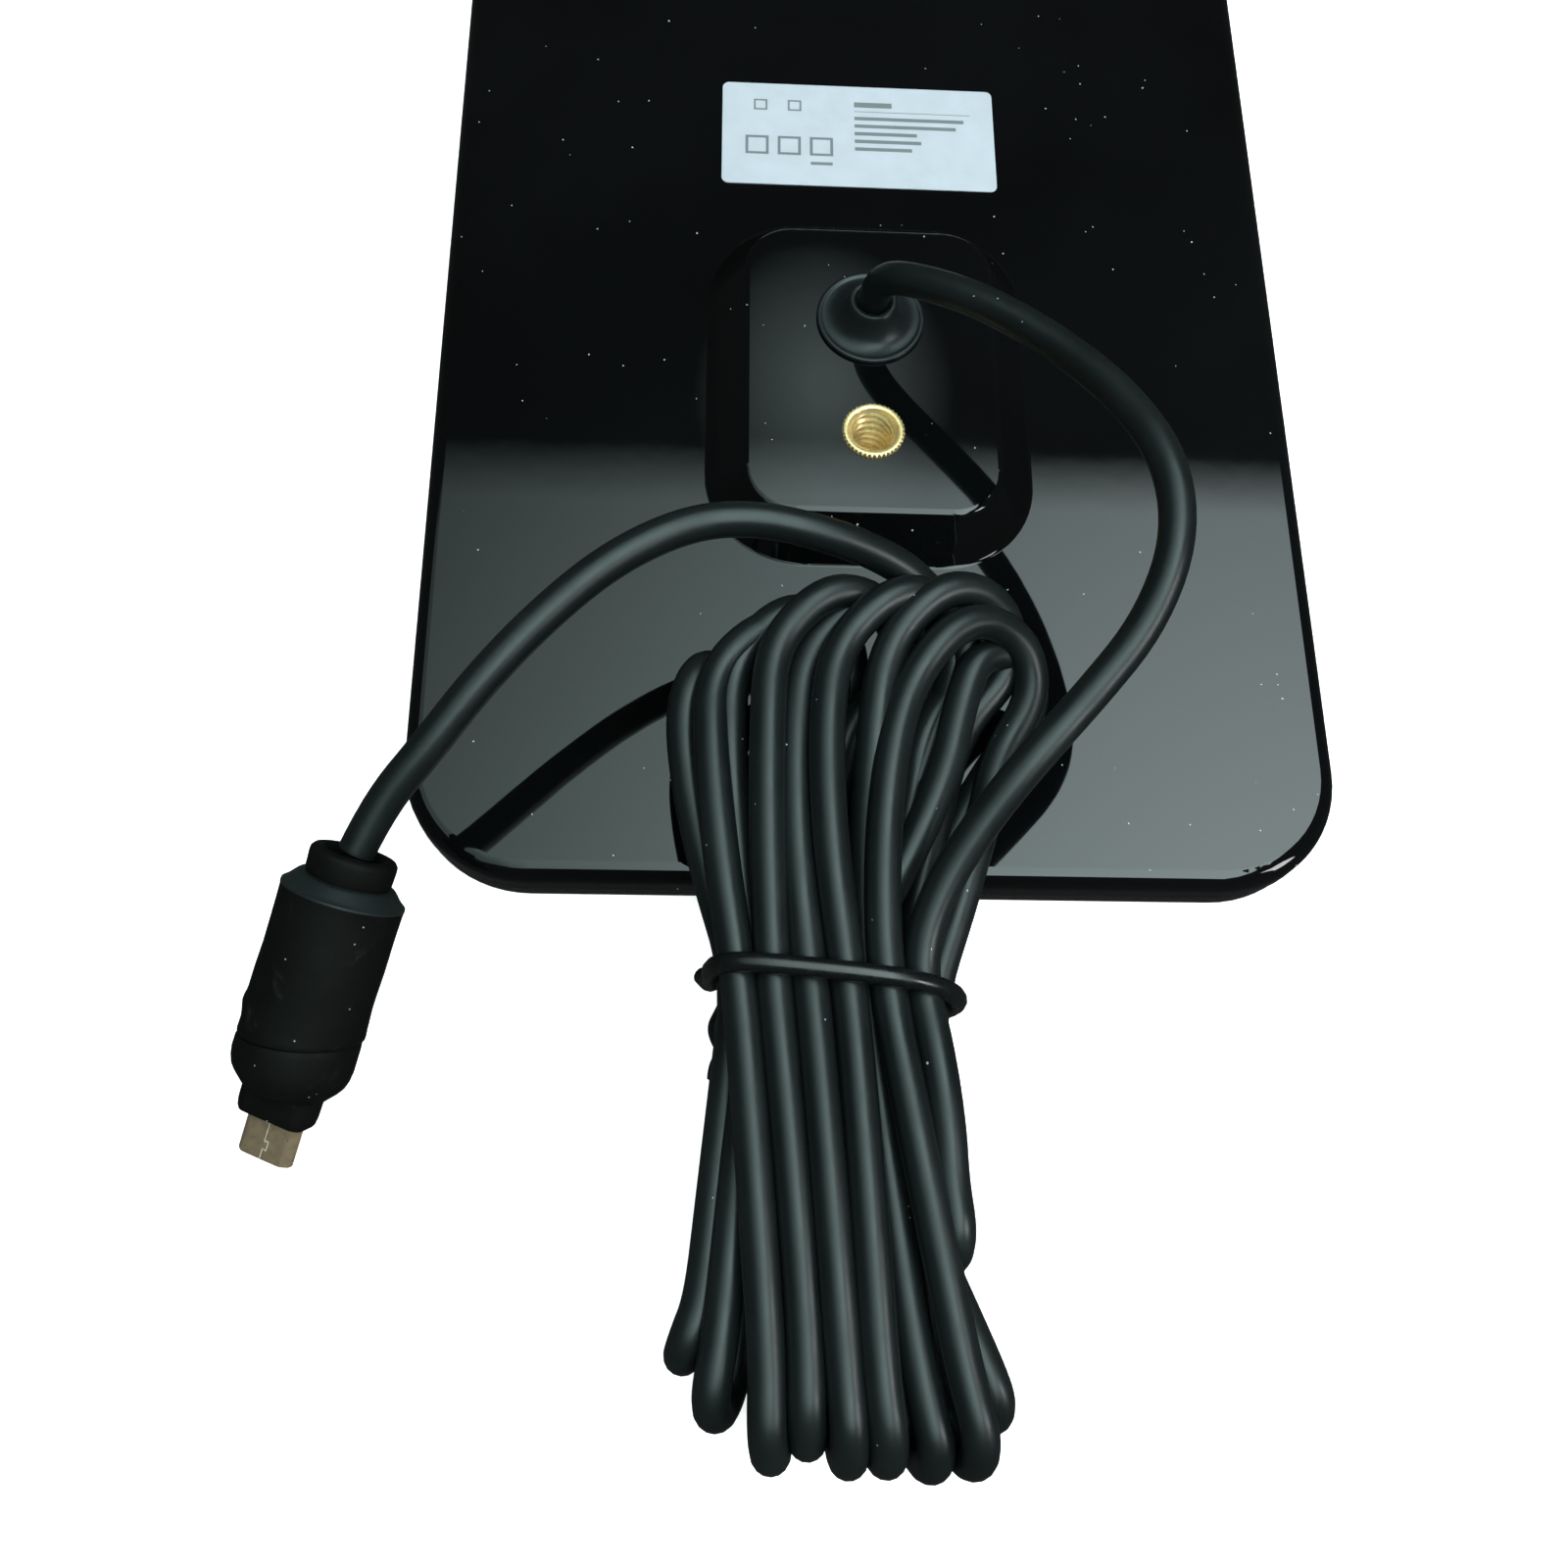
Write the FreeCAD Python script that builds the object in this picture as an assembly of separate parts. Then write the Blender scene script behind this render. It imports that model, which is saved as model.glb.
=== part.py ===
"""Small plug-in solar charging panel, lying face down, with its charging cord tied in a hank.

Millimetres. X runs across the panel, Y along it (minus Y is the cord end), Z up.
The origin is the middle of the panel's light-collecting face, which lies on Z = 0.
The glossy rear side faces up, with a raised boss that holds a threaded insert and the cord's grommet.
"""
import FreeCAD, Part
import math
import os

Vec = FreeCAD.Vector

# ---- driving dimensions -------------------------------------------------------------------
PANEL_WIDTH = 117.0
PANEL_LENGTH = 192.0
PANEL_DEPTH = 8.0
CORNER_RADIUS = 15.8
REAR_EDGE_RADIUS = 2.2
WALL = 2.0

FRAME_HEIGHT = 3.2
FRAME_INSET = 0.25
FRAME_FOOT_BEVEL = 0.5
WINDOW_MARGIN = 5.0
POCKET_MARGIN = 3.4
LIP_HEIGHT = 0.8
SEAL_HEIGHT = 0.2
SEAL_INSET = 1.0
SEAL_WIDTH = 0.8

BOSS_Y = -25.5
BOSS_HEIGHT = 5.4
BOSS_BASE = (43.6, 54.6, 13.0)
BOSS_TOP = (33.3, 44.2, 6.3)
BOSS_EDGE_RADIUS = 0.9
BOSS_FOOT_RADIUS = 0.5
BOSS_ROOF = 1.8

INSERT_Y = -35.8
INSERT_RADIUS = 4.15
INSERT_BORE = 2.6
INSERT_MOUTH = 3.25
INSERT_LENGTH = 9.0
INSERT_PROUD = 0.5
INSERT_TEETH = 40
TOOTH_DEPTH = 0.25
INSERT_TOWER_WALL = 2.0

GROMMET_Y = -18.0
GROMMET_DISC_RADIUS = 7.3
GROMMET_RIM = 0.5
GROMMET_CONE = 4.0
GROMMET_MOUTH_RADIUS = 3.1
GROMMET_NECK_RADIUS = 4.4
GROMMET_FLANGE_RADIUS = 5.6
GROMMET_FLANGE = 1.2

LABEL_SIZE = (40.0, 18.6)
LABEL_Y = 18.5
LABEL_THICKNESS = 0.15
LABEL_CORNER = 1.0

CELL_COLUMNS = 2
CELL_ROWS = 6
CELL_GAP = 1.4
CELL_BORDER = 1.5
COVER_SHEET = 0.4
FRONT_FILM = 0.2
RIBBON_THICKNESS = 0.1
RIBBON_WIDTH = 1.2
RIBBONS_PER_CELL = 2
CELL_THICKNESS = 0.2
REAR_FILM = 0.3
BOARD_THICKNESS = 1.0
STACK_CLEARANCE = 0.2

CORD_RADIUS = 2.1
CORE_RADIUS = 0.65

JUNCTION_SIZE = (26.0, 9.0, 1.0)
JUNCTION_CENTRE_Y = -6.5
JUNCTION_Z = 5.0
POST_SPACING = 19.0
POST_RADIUS = 2.4
SCREW_RADIUS = 1.0
SCREW_HEAD_RADIUS = 1.9
SCREW_HEAD = 1.0
SCREW_LENGTH = 4.0

TIE_RADIUS = 1.15
TIE_SLOPE = -0.09
TIE_MIDDLE_X = -6.0
TIE_KNOT = 7
TIE_STUB_LENGTH = 5.0
TIE_TWIST_RADIUS = 1.84
TIE_TWIST_LENGTH = 11.0

PLUG_REAR = Vec(-60.1, -96.9, 19.2)
PLUG_TIP = Vec(-71.2, -128.6, 2.9)
PLUG_ROLL = -27.0
COLLAR_RADIUS = 4.9
COLLAR_LENGTH = 3.2
SLEEVE_RADIUS = 6.9
SLEEVE_LENGTH = 18.8
SLEEVE_BEVEL = 1.5
STAGE_RADIUS = 6.8
STAGE_LENGTH = 6.5
STAGE_BEVEL = 1.4
CORE_OF_PLUG_RADIUS = 5.0
NOSE_SIZE = (8.8, 5.2, 3.7)
NOSE_CORNER = 1.5
SHELL_SIZE = (6.85, 1.8)
SHELL_WALL = 0.25
SHELL_OUTSIDE = 5.0
SHELL_ROOT = 6.0
CONTACT_COUNT = 5
CONTACT_PITCH = 0.65
CONTACT_WIDTH = 0.35

REAR_FACE = PANEL_DEPTH
BOSS_FACE = REAR_FACE + BOSS_HEIGHT
RIM_BOTTOM = FRAME_HEIGHT + SEAL_HEIGHT
ROOF_INSIDE = REAR_FACE - BOSS_ROOF
BOSS_INSIDE = BOSS_FACE - BOSS_ROOF
COVER_BOTTOM = LIP_HEIGHT
FILM_BOTTOM = COVER_BOTTOM + COVER_SHEET
RIBBON_BOTTOM = FILM_BOTTOM + FRONT_FILM
CELL_BOTTOM = RIBBON_BOTTOM + RIBBON_THICKNESS
REAR_FILM_BOTTOM = CELL_BOTTOM + CELL_THICKNESS
BOARD_BOTTOM = REAR_FILM_BOTTOM + REAR_FILM
BOARD_TOP = BOARD_BOTTOM + BOARD_THICKNESS
GROMMET_MOUTH_Z = BOSS_FACE + GROMMET_CONE

# ---- routes of the loose cord, chosen by hand ------------------------------------------------
# From the grommet the lead rises, arches over the right side and comes down on the hank.
LEAD_ROUTE = [
    (0.0, -18.0, 17.4), (0.0, -18.2, 20.2), (1.6, -19.6, 23.8), (5.6, -22.8, 26.6),
    (12.0, -27.6, 29.4), (20.0, -35.2, 31.8), (26.4, -44.6, 35.0), (30.4, -55.0, 37.6),
    (31.0, -64.6, 36.6), (27.8, -73.2, 32.8), (21.4, -80.8, 30.2), (14.2, -88.5, 28.0),
    (9.6, -94.0, 24.8), (5.7, -99.7, 21.8), (3.2, -105.8, 19.2),
]
# The tail leaves the top of the hank, arches over the left side and comes down to the plug.
TAIL_ROUTE = [
    (7.8, -66.0, 19.5), (3.2, -62.0, 22.6), (-2.7, -60.6, 26.0), (-9.6, -59.8, 28.6),
    (-16.6, -59.2, 29.8), (-23.8, -60.4, 30.2), (-32.0, -65.2, 30.4), (-39.4, -71.8, 29.4),
    (-46.4, -79.4, 27.6), (-52.2, -86.6, 24.8), (-57.3, -91.9, 21.8), (-60.1, -96.9, 19.2),
]

# Cross sections of the hank: y, left, right, bottom, top, corner cut.
HANK_SECTIONS = [
    (-63.0, -2.0, 14.0, 16.0, 25.0, 2.0),
    (-66.0, -11.0, 18.0, 13.0, 26.8, 4.0),
    (-71.0, -23.5, 20.8, 9.2, 26.8, 4.0),
    (-78.0, -26.0, 21.0, 8.1, 26.2, 4.5),
    (-88.0, -25.2, 17.0, 8.1, 25.4, 4.0),
    (-96.0, -23.6, 14.4, 8.1, 24.4, 4.0),
    (-104.0, -20.8, 10.2, 6.2, 22.4, 3.5),
    (-110.5, -19.6, 7.0, 4.4, 21.2, 3.5),
    (-117.0, -20.0, 7.0, 3.2, 21.1, 3.5),
    (-128.0, -22.1, 7.8, 1.6, 20.9, 4.0),
    (-141.0, -23.6, 9.2, 0.0, 19.6, 4.5),
    (-151.0, -24.9, 12.0, 0.0, 18.0, 4.5),
    (-157.0, -22.0, 13.0, 0.4, 17.2, 4.0),
    (-163.0, -14.0, 9.0, 3.0, 12.5, 2.5),
]
TIE_SECTION = 7


# ---- helpers ---------------------------------------------------------------------------------
def save(node, shape):
    """Write one node and report its size."""
    if not shape.isValid():
        raise ValueError(node + " is not a valid shape")
    shape.exportStep("parts/" + node + ".step")
    box = shape.BoundBox
    lows = "%.2f %.2f %.2f" % (box.XMin, box.YMin, box.ZMin)
    highs = "%.2f %.2f %.2f" % (box.XMax, box.YMax, box.ZMax)
    print("%-22s %2d solids  %9.2f mm3  %s  to  %s" % (node, len(shape.Solids), shape.Volume, lows, highs))


def rounded_wire(width, length, radius, z, centre=(0.0, 0.0)):
    """A rounded rectangle, flat at height z."""
    cx, cy = centre
    hx = width / 2.0
    hy = length / 2.0
    corners = [(1, 1, 0), (-1, 1, 90), (-1, -1, 180), (1, -1, 270)]
    ends = []
    for sx, sy, start in corners:
        middle = Vec(cx + sx * (hx - radius), cy + sy * (hy - radius), z)
        points = []
        for angle in (start, start + 45, start + 90):
            turn = math.radians(angle)
            points.append(middle + Vec(radius * math.cos(turn), radius * math.sin(turn), 0))
        ends.append(points)
    edges = []
    for i in range(4):
        edges.append(Part.Arc(*ends[i]).toShape())
        edges.append(Part.LineSegment(ends[i][2], ends[(i + 1) % 4][0]).toShape())
    return Part.Wire(edges)


def slab(width, length, radius, low, high, centre=(0.0, 0.0)):
    """A rounded rectangle raised from one height to another."""
    face = Part.Face(rounded_wire(width, length, radius, low, centre))
    return face.extrude(Vec(0, 0, high - low))


def block(size, low_corner):
    """A plain box."""
    return Part.makeBox(size[0], size[1], size[2], Vec(*low_corner))


def rod(radius, height, base, axis=Vec(0, 0, 1)):
    """A round bar from a base point along an axis."""
    return Part.makeCylinder(radius, height, base, axis)


def boss_form(shrink, low, high):
    """The boss: a tapered block, from its base outline up to its top outline."""
    base_w, base_l, base_r = BOSS_BASE
    top_w, top_l, top_r = BOSS_TOP
    lower = rounded_wire(base_w - 2 * shrink, base_l - 2 * shrink, base_r - shrink, low, (0, BOSS_Y))
    upper = rounded_wire(top_w - 2 * shrink, top_l - 2 * shrink, max(top_r - shrink, 2.0), high, (0, BOSS_Y))
    return Part.makeLoft([lower, upper], True, True)


def revolved(profile, centre_y):
    """A turned piece about a vertical axis: profile is a list of (radius, z)."""
    points = [Vec(r, centre_y, z) for r, z in profile]
    points.append(points[0])
    face = Part.Face(Part.makePolygon(points))
    return face.revolve(Vec(0, centre_y, 0), Vec(0, 0, 1), 360)


def bent_path(points):
    """Straight runs joined by tangent arcs, each as large as its two runs allow."""
    places = [Vec(*p) for p in points]
    edges = []
    radii = []
    start = places[0]
    for i in range(1, len(places) - 1):
        before = (places[i] - places[i - 1])
        after = (places[i + 1] - places[i])
        turn = before.getAngle(after)
        shorter = min(before.Length, after.Length)
        radius = 0.45 * shorter / math.tan(turn / 2.0)
        cut = 0.45 * shorter
        arrive = places[i] - before.normalize() * cut
        leave = places[i] + after.normalize() * cut
        inward = (arrive + leave) * 0.5 - places[i]
        apex_gap = math.hypot(radius, cut) - radius
        middle = places[i] + inward.normalize() * apex_gap
        edges.append(Part.LineSegment(start, arrive).toShape())
        edges.append(Part.Arc(arrive, middle, leave).toShape())
        radii.append(radius)
        start = leave
    edges.append(Part.LineSegment(start, places[-1]).toShape())
    return Part.Wire(edges), radii


def tube(points, radius, name):
    """A round solid that follows a bent path; its volume is compared with section times length."""
    path, radii = bent_path(points)
    first = Vec(*points[0])
    heading = Vec(*points[1]) - first
    ring = Part.Wire([Part.Circle(first, heading, radius).toShape()])
    solid = path.makePipeShell([ring], True, False)
    expected = math.pi * radius * radius * path.Length
    smallest = min(radii) if radii else 0.0
    print("%-22s length %.1f  volume/expected %.4f  radii %s" % (
        name, path.Length, solid.Volume / expected, " ".join("%.1f" % r for r in radii)))
    print("%-22s tightest radius %.1f" % (name, smallest))
    return solid


# ---- housing ---------------------------------------------------------------------------------
def rear_housing():
    """Glossy rear shell: tray with a soft rear edge, hollow boss, insert tower and screw posts."""
    body = slab(PANEL_WIDTH, PANEL_LENGTH, CORNER_RADIUS, RIM_BOTTOM, REAR_FACE)
    rear_edges = []
    for edge in body.Edges:
        box = edge.BoundBox
        if abs(box.ZMin - REAR_FACE) < 1e-6 and abs(box.ZMax - REAR_FACE) < 1e-6:
            rear_edges.append(edge)
    body = body.makeFillet(REAR_EDGE_RADIUS, rear_edges)
    boss = boss_form(0.0, REAR_FACE, BOSS_FACE)
    top_edges = []
    for edge in boss.Edges:
        if abs(edge.BoundBox.ZMin - BOSS_FACE) < 1e-6:
            top_edges.append(edge)
    boss = boss.makeFillet(BOSS_EDGE_RADIUS, top_edges)
    foot = slab(BOSS_BASE[0], BOSS_BASE[1], BOSS_BASE[2], REAR_FACE - 1.0, REAR_FACE, (0, BOSS_Y))
    body = body.fuse(foot).fuse(boss).removeSplitter()
    foot_edges = []
    for edge in body.Edges:
        box = edge.BoundBox
        on_rear_face = abs(box.ZMin - REAR_FACE) < 1e-6 and abs(box.ZMax - REAR_FACE) < 1e-6
        if on_rear_face and abs(box.Center.y - BOSS_Y) < BOSS_BASE[1] and abs(box.Center.x) < BOSS_BASE[0]:
            foot_edges.append(edge)
    body = body.makeFillet(BOSS_FOOT_RADIUS, foot_edges)
    tray = slab(PANEL_WIDTH - 2 * WALL, PANEL_LENGTH - 2 * WALL, CORNER_RADIUS - WALL,
                RIM_BOTTOM - 1.0, ROOF_INSIDE)
    body = body.cut(tray)
    hollow = boss_form(WALL, ROOF_INSIDE - 0.01, BOSS_INSIDE)
    body = body.cut(hollow)
    tower_radius = INSERT_RADIUS + INSERT_TOWER_WALL
    tower_bottom = BOSS_FACE + INSERT_PROUD - INSERT_LENGTH - 0.8
    tower = rod(tower_radius, BOSS_INSIDE + 0.5 - tower_bottom, Vec(0, INSERT_Y, tower_bottom))
    body = body.fuse(tower)
    for side in (-1, 1):
        post_base = Vec(side * POST_SPACING / 2, JUNCTION_CENTRE_Y, JUNCTION_Z + JUNCTION_SIZE[2])
        body = body.fuse(rod(POST_RADIUS, BOSS_INSIDE + 0.5 - post_base.z, post_base))
        body = body.cut(rod(SCREW_RADIUS, SCREW_LENGTH, post_base - Vec(0, 0, 0.1)))
    pocket_bottom = BOSS_FACE + INSERT_PROUD - INSERT_LENGTH
    body = body.cut(rod(INSERT_RADIUS, INSERT_LENGTH + 1.0, Vec(0, INSERT_Y, pocket_bottom)))
    body = body.cut(rod(GROMMET_NECK_RADIUS, 10.0, Vec(0, GROMMET_Y, BOSS_INSIDE - 2.0)))
    return body.removeSplitter()


def front_frame():
    """Matt frame round the light-collecting face, with a lip that the laminate sits in."""
    width = PANEL_WIDTH - 2 * FRAME_INSET
    length = PANEL_LENGTH - 2 * FRAME_INSET
    radius = CORNER_RADIUS - FRAME_INSET
    body = slab(width, length, radius, 0.0, FRAME_HEIGHT)
    foot_edges = []
    for edge in body.Edges:
        if abs(edge.BoundBox.ZMax) < 1e-6:
            foot_edges.append(edge)
    body = body.makeChamfer(FRAME_FOOT_BEVEL, foot_edges)
    window = slab(PANEL_WIDTH - 2 * WINDOW_MARGIN, PANEL_LENGTH - 2 * WINDOW_MARGIN,
                  CORNER_RADIUS - WINDOW_MARGIN, -1.0, FRAME_HEIGHT + 1.0)
    pocket = slab(PANEL_WIDTH - 2 * POCKET_MARGIN, PANEL_LENGTH - 2 * POCKET_MARGIN,
                  CORNER_RADIUS - POCKET_MARGIN, LIP_HEIGHT, FRAME_HEIGHT + 1.0)
    return body.cut(window).cut(pocket)


def seal_bead():
    """Bead of sealant between the frame and the rear shell."""
    outer = PANEL_WIDTH - 2 * SEAL_INSET
    outer_long = PANEL_LENGTH - 2 * SEAL_INSET
    bead = slab(outer, outer_long, CORNER_RADIUS - SEAL_INSET, FRAME_HEIGHT, RIM_BOTTOM)
    inset = SEAL_INSET + SEAL_WIDTH
    hole = slab(PANEL_WIDTH - 2 * inset, PANEL_LENGTH - 2 * inset, CORNER_RADIUS - inset,
                FRAME_HEIGHT - 1.0, RIM_BOTTOM + 1.0)
    return bead.cut(hole)


def rating_label():
    """Thin sticker on the rear face."""
    return slab(LABEL_SIZE[0], LABEL_SIZE[1], LABEL_CORNER, REAR_FACE, REAR_FACE + LABEL_THICKNESS,
                (-0.3, LABEL_Y))


# ---- solar laminate --------------------------------------------------------------------------
def laminate_sheet(low, thickness):
    """One full sheet of the laminate."""
    margin = POCKET_MARGIN + STACK_CLEARANCE
    return slab(PANEL_WIDTH - 2 * margin, PANEL_LENGTH - 2 * margin, CORNER_RADIUS - margin,
                low, low + thickness)


def cell_grid():
    """Low corner and size of every cell."""
    usable_x = PANEL_WIDTH - 2 * (WINDOW_MARGIN + CELL_BORDER)
    usable_y = PANEL_LENGTH - 2 * (WINDOW_MARGIN + CELL_BORDER)
    width = (usable_x - (CELL_COLUMNS - 1) * CELL_GAP) / CELL_COLUMNS
    length = (usable_y - (CELL_ROWS - 1) * CELL_GAP) / CELL_ROWS
    cells = []
    for column in range(CELL_COLUMNS):
        for row in range(CELL_ROWS):
            x = -usable_x / 2 + column * (width + CELL_GAP)
            y = -usable_y / 2 + row * (length + CELL_GAP)
            cells.append((x, y, width, length))
    return cells


def solar_cell(cell):
    """One mono-crystalline wafer; the four wafers at the frame's corners lose a corner."""
    x, y, width, length = cell
    wafer = block((width, length, CELL_THICKNESS), (x, y, CELL_BOTTOM))
    cut = 4.5
    edge_x = abs(x) > abs(x + width)
    corner_x = x if edge_x else x + width
    near_end = min(y, -(y + length))
    if near_end < -PANEL_LENGTH / 2 + WINDOW_MARGIN + CELL_BORDER + 1.0:
        corner_y = y if y < 0 else y + length
        into_x = cut if edge_x else -cut
        into_y = cut if y < 0 else -cut
        points = [Vec(corner_x, corner_y, CELL_BOTTOM), Vec(corner_x + into_x, corner_y, CELL_BOTTOM),
                  Vec(corner_x, corner_y + into_y, CELL_BOTTOM), Vec(corner_x, corner_y, CELL_BOTTOM)]
        wedge = Part.Face(Part.makePolygon(points)).extrude(Vec(0, 0, CELL_THICKNESS))
        wafer = wafer.cut(wedge)
    return wafer


def cell_ribbons():
    """Tinned ribbons on the sunny side of the cells."""
    strips = []
    for x, y, width, length in cell_grid():
        for i in range(RIBBONS_PER_CELL):
            middle = x + width * (i + 1) / (RIBBONS_PER_CELL + 1)
            strips.append(block((RIBBON_WIDTH, length, RIBBON_THICKNESS),
                                (middle - RIBBON_WIDTH / 2, y, RIBBON_BOTTOM)))
    return Part.makeCompound(strips)


def panel_terminals():
    """Two solder pads on the back of the laminate's board."""
    pads = []
    for side in (-1, 1):
        pads.append(block((6.0, 3.0, 0.1), (side * 8.0 - 3.0, 8.0, BOARD_TOP)))
    return Part.makeCompound(pads)


# ---- parts in the boss -----------------------------------------------------------------------
def brass_insert():
    """Knurled insert with a plain bore at the thread's minor size and a countersunk mouth."""
    top = BOSS_FACE + INSERT_PROUD
    bottom = top - INSERT_LENGTH
    outline = []
    for i in range(2 * INSERT_TEETH):
        radius = INSERT_RADIUS - (TOOTH_DEPTH if i % 2 else 0.0)
        turn = math.pi * i / INSERT_TEETH
        outline.append(Vec(radius * math.cos(turn), INSERT_Y + radius * math.sin(turn), bottom))
    outline.append(outline[0])
    body = Part.Face(Part.makePolygon(outline)).extrude(Vec(0, 0, INSERT_LENGTH))
    body = body.cut(rod(INSERT_BORE, INSERT_LENGTH, Vec(0, INSERT_Y, bottom + 1.0)))
    sink = INSERT_MOUTH - INSERT_BORE
    mouth = Part.makeCone(INSERT_BORE, INSERT_MOUTH, sink, Vec(0, INSERT_Y, top - sink), Vec(0, 0, 1))
    return body.cut(mouth)


def cable_grommet():
    """Soft trumpet-shaped grommet: disc outside, neck in the wall, flange inside."""
    top = GROMMET_MOUTH_Z
    profile = [(CORD_RADIUS, BOSS_INSIDE - GROMMET_FLANGE)]
    profile += [(GROMMET_FLANGE_RADIUS, BOSS_INSIDE - GROMMET_FLANGE), (GROMMET_FLANGE_RADIUS, BOSS_INSIDE)]
    profile += [(GROMMET_NECK_RADIUS, BOSS_INSIDE), (GROMMET_NECK_RADIUS, BOSS_FACE)]
    profile += [(GROMMET_DISC_RADIUS, BOSS_FACE), (GROMMET_DISC_RADIUS, BOSS_FACE + GROMMET_RIM)]
    steps = 8
    for i in range(steps + 1):
        share = i / steps
        radius = GROMMET_DISC_RADIUS - 0.5 + (GROMMET_MOUTH_RADIUS - GROMMET_DISC_RADIUS + 0.5) * share
        height = BOSS_FACE + GROMMET_RIM + (GROMMET_CONE - GROMMET_RIM) * share ** 2.6
        profile.append((radius, height))
    profile.append((CORD_RADIUS, top))
    return revolved(profile, GROMMET_Y)


def cord_inner_end():
    """End of the cord's jacket, inside the grommet and the boss."""
    return rod(CORD_RADIUS, GROMMET_MOUTH_Z - 6.4, Vec(0, GROMMET_Y, 6.4))


def anchor_tie():
    """Nylon tie tight on the jacket under the grommet, so that the cord can't be pulled out."""
    low = 7.2
    height = 2.4
    ring = rod(CORD_RADIUS + 1.1, height, Vec(0, GROMMET_Y, low))
    head = block((4.2, 3.6, height + 0.6), (-2.1, GROMMET_Y + CORD_RADIUS + 0.6, low - 0.3))
    return ring.fuse(head).cut(rod(CORD_RADIUS, 6.0, Vec(0, GROMMET_Y, low - 1.0)))


def junction_board():
    """Small board that joins the panel's wires to the cord's."""
    width, length, _ = JUNCTION_SIZE
    board = block(JUNCTION_SIZE, (-width / 2, JUNCTION_CENTRE_Y - length / 2, JUNCTION_Z))
    for side in (-1, 1):
        below = Vec(side * POST_SPACING / 2, JUNCTION_CENTRE_Y, JUNCTION_Z - 1.0)
        board = board.cut(rod(SCREW_RADIUS + 0.1, 3.0, below))
    return board


def board_screws():
    """Two screws that hold the board to its posts; their heads face the laminate."""
    screws = []
    for side in (-1, 1):
        seat = Vec(side * POST_SPACING / 2, JUNCTION_CENTRE_Y, JUNCTION_Z)
        head = rod(SCREW_HEAD_RADIUS, SCREW_HEAD, seat - Vec(0, 0, SCREW_HEAD))
        shank = rod(SCREW_RADIUS - 0.05, SCREW_LENGTH, seat)
        screws.append(head.fuse(shank))
    return Part.makeCompound(screws)


def blocking_diode():
    """Diode that stops the battery from draining into the panel at night."""
    top = JUNCTION_Z + JUNCTION_SIZE[2]
    return block((4.3, 2.6, 2.2), (-5.4, JUNCTION_CENTRE_Y - 1.0, top))


def filter_capacitor():
    """Chip capacitor across the output."""
    top = JUNCTION_Z + JUNCTION_SIZE[2]
    return block((3.2, 1.6, 1.5), (1.6, JUNCTION_CENTRE_Y - 0.5, top))


def panel_wire(side, name):
    """Wire from a laminate pad to the junction board."""
    route = [(side * 8.0, 9.6, BOARD_TOP + 0.1 + CORE_RADIUS), (side * 8.2, 4.0, BOARD_TOP + 0.9),
             (side * 5.4, -3.2, JUNCTION_Z - CORE_RADIUS)]
    return tube(route, CORE_RADIUS, name)


def cord_core(side, name):
    """Insulated core from the end of the jacket to the junction board."""
    low = JUNCTION_Z - CORE_RADIUS - 0.3
    route = [(side * 0.8, GROMMET_Y, 6.4), (side * 0.8, GROMMET_Y + 0.2, low), (side * 2.6, -9.4, low + 0.3)]
    return tube(route, CORE_RADIUS, name)


# ---- cord ------------------------------------------------------------------------------------
def hank_outline(section, grow=0.0):
    """Corner points of one cross section of the hank."""
    y, left, right, bottom, top, cut = section
    left -= grow
    right += grow
    bottom -= grow
    top += grow
    return [Vec(left + cut, y, bottom), Vec(right - cut, y, bottom), Vec(right, y, bottom + cut),
            Vec(right, y, top - cut), Vec(right - cut, y, top), Vec(left + cut, y, top),
            Vec(left, y, top - cut), Vec(left, y, bottom + cut)]


def cord_hank():
    """Outer shape of the tied hank: open loops at both ends, pinched at the tie."""
    wires = []
    for section in HANK_SECTIONS:
        points = hank_outline(section)
        points.append(points[0])
        wires.append(Part.makePolygon(points))
    return Part.makeLoft(wires, True, True)


def twist_tie():
    """Plastic-coated wire round the waist of the hank, its twisted ends at the lower left."""
    points = hank_outline(HANK_SECTIONS[TIE_SECTION], TIE_RADIUS)
    ring = []
    for point in points:
        ring.append(Vec(point.x, point.y + TIE_SLOPE * (point.x - TIE_MIDDLE_X), point.z))
    middle = (ring[0] + ring[1]) * 0.5
    heading = ring[1] - ring[0]
    start = Part.Wire([Part.Circle(middle, heading, TIE_RADIUS).toShape()])
    edges = [Part.LineSegment(middle, ring[1]).toShape()]
    for i in range(1, len(ring)):
        edges.append(Part.LineSegment(ring[i], ring[(i + 1) % len(ring)]).toShape())
    edges.append(Part.LineSegment(ring[0], middle).toShape())
    path = Part.Wire(edges)
    band = path.makePipeShell([start], True, False, 1)
    knot = ring[TIE_KNOT]
    upper_end = rod(TIE_RADIUS, TIE_STUB_LENGTH, knot, Vec(-0.7, 0.6, -0.1))
    lower_end = rod(TIE_TWIST_RADIUS, TIE_TWIST_LENGTH, knot, Vec(-0.1, -1.0, -0.1))
    return band.fuse(upper_end).fuse(lower_end)


# ---- plug ------------------------------------------------------------------------------------
# The plug is drawn standing on its contacts' end: local Z runs from the tip to the cord.
PLUG_AXIS = PLUG_REAR - PLUG_TIP
NOSE_START = SHELL_OUTSIDE
STAGE_START = NOSE_START + NOSE_SIZE[2]
SLEEVE_START = STAGE_START + STAGE_LENGTH
COLLAR_START = SLEEVE_START + SLEEVE_LENGTH
PLUG_LENGTH = COLLAR_START + COLLAR_LENGTH


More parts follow.
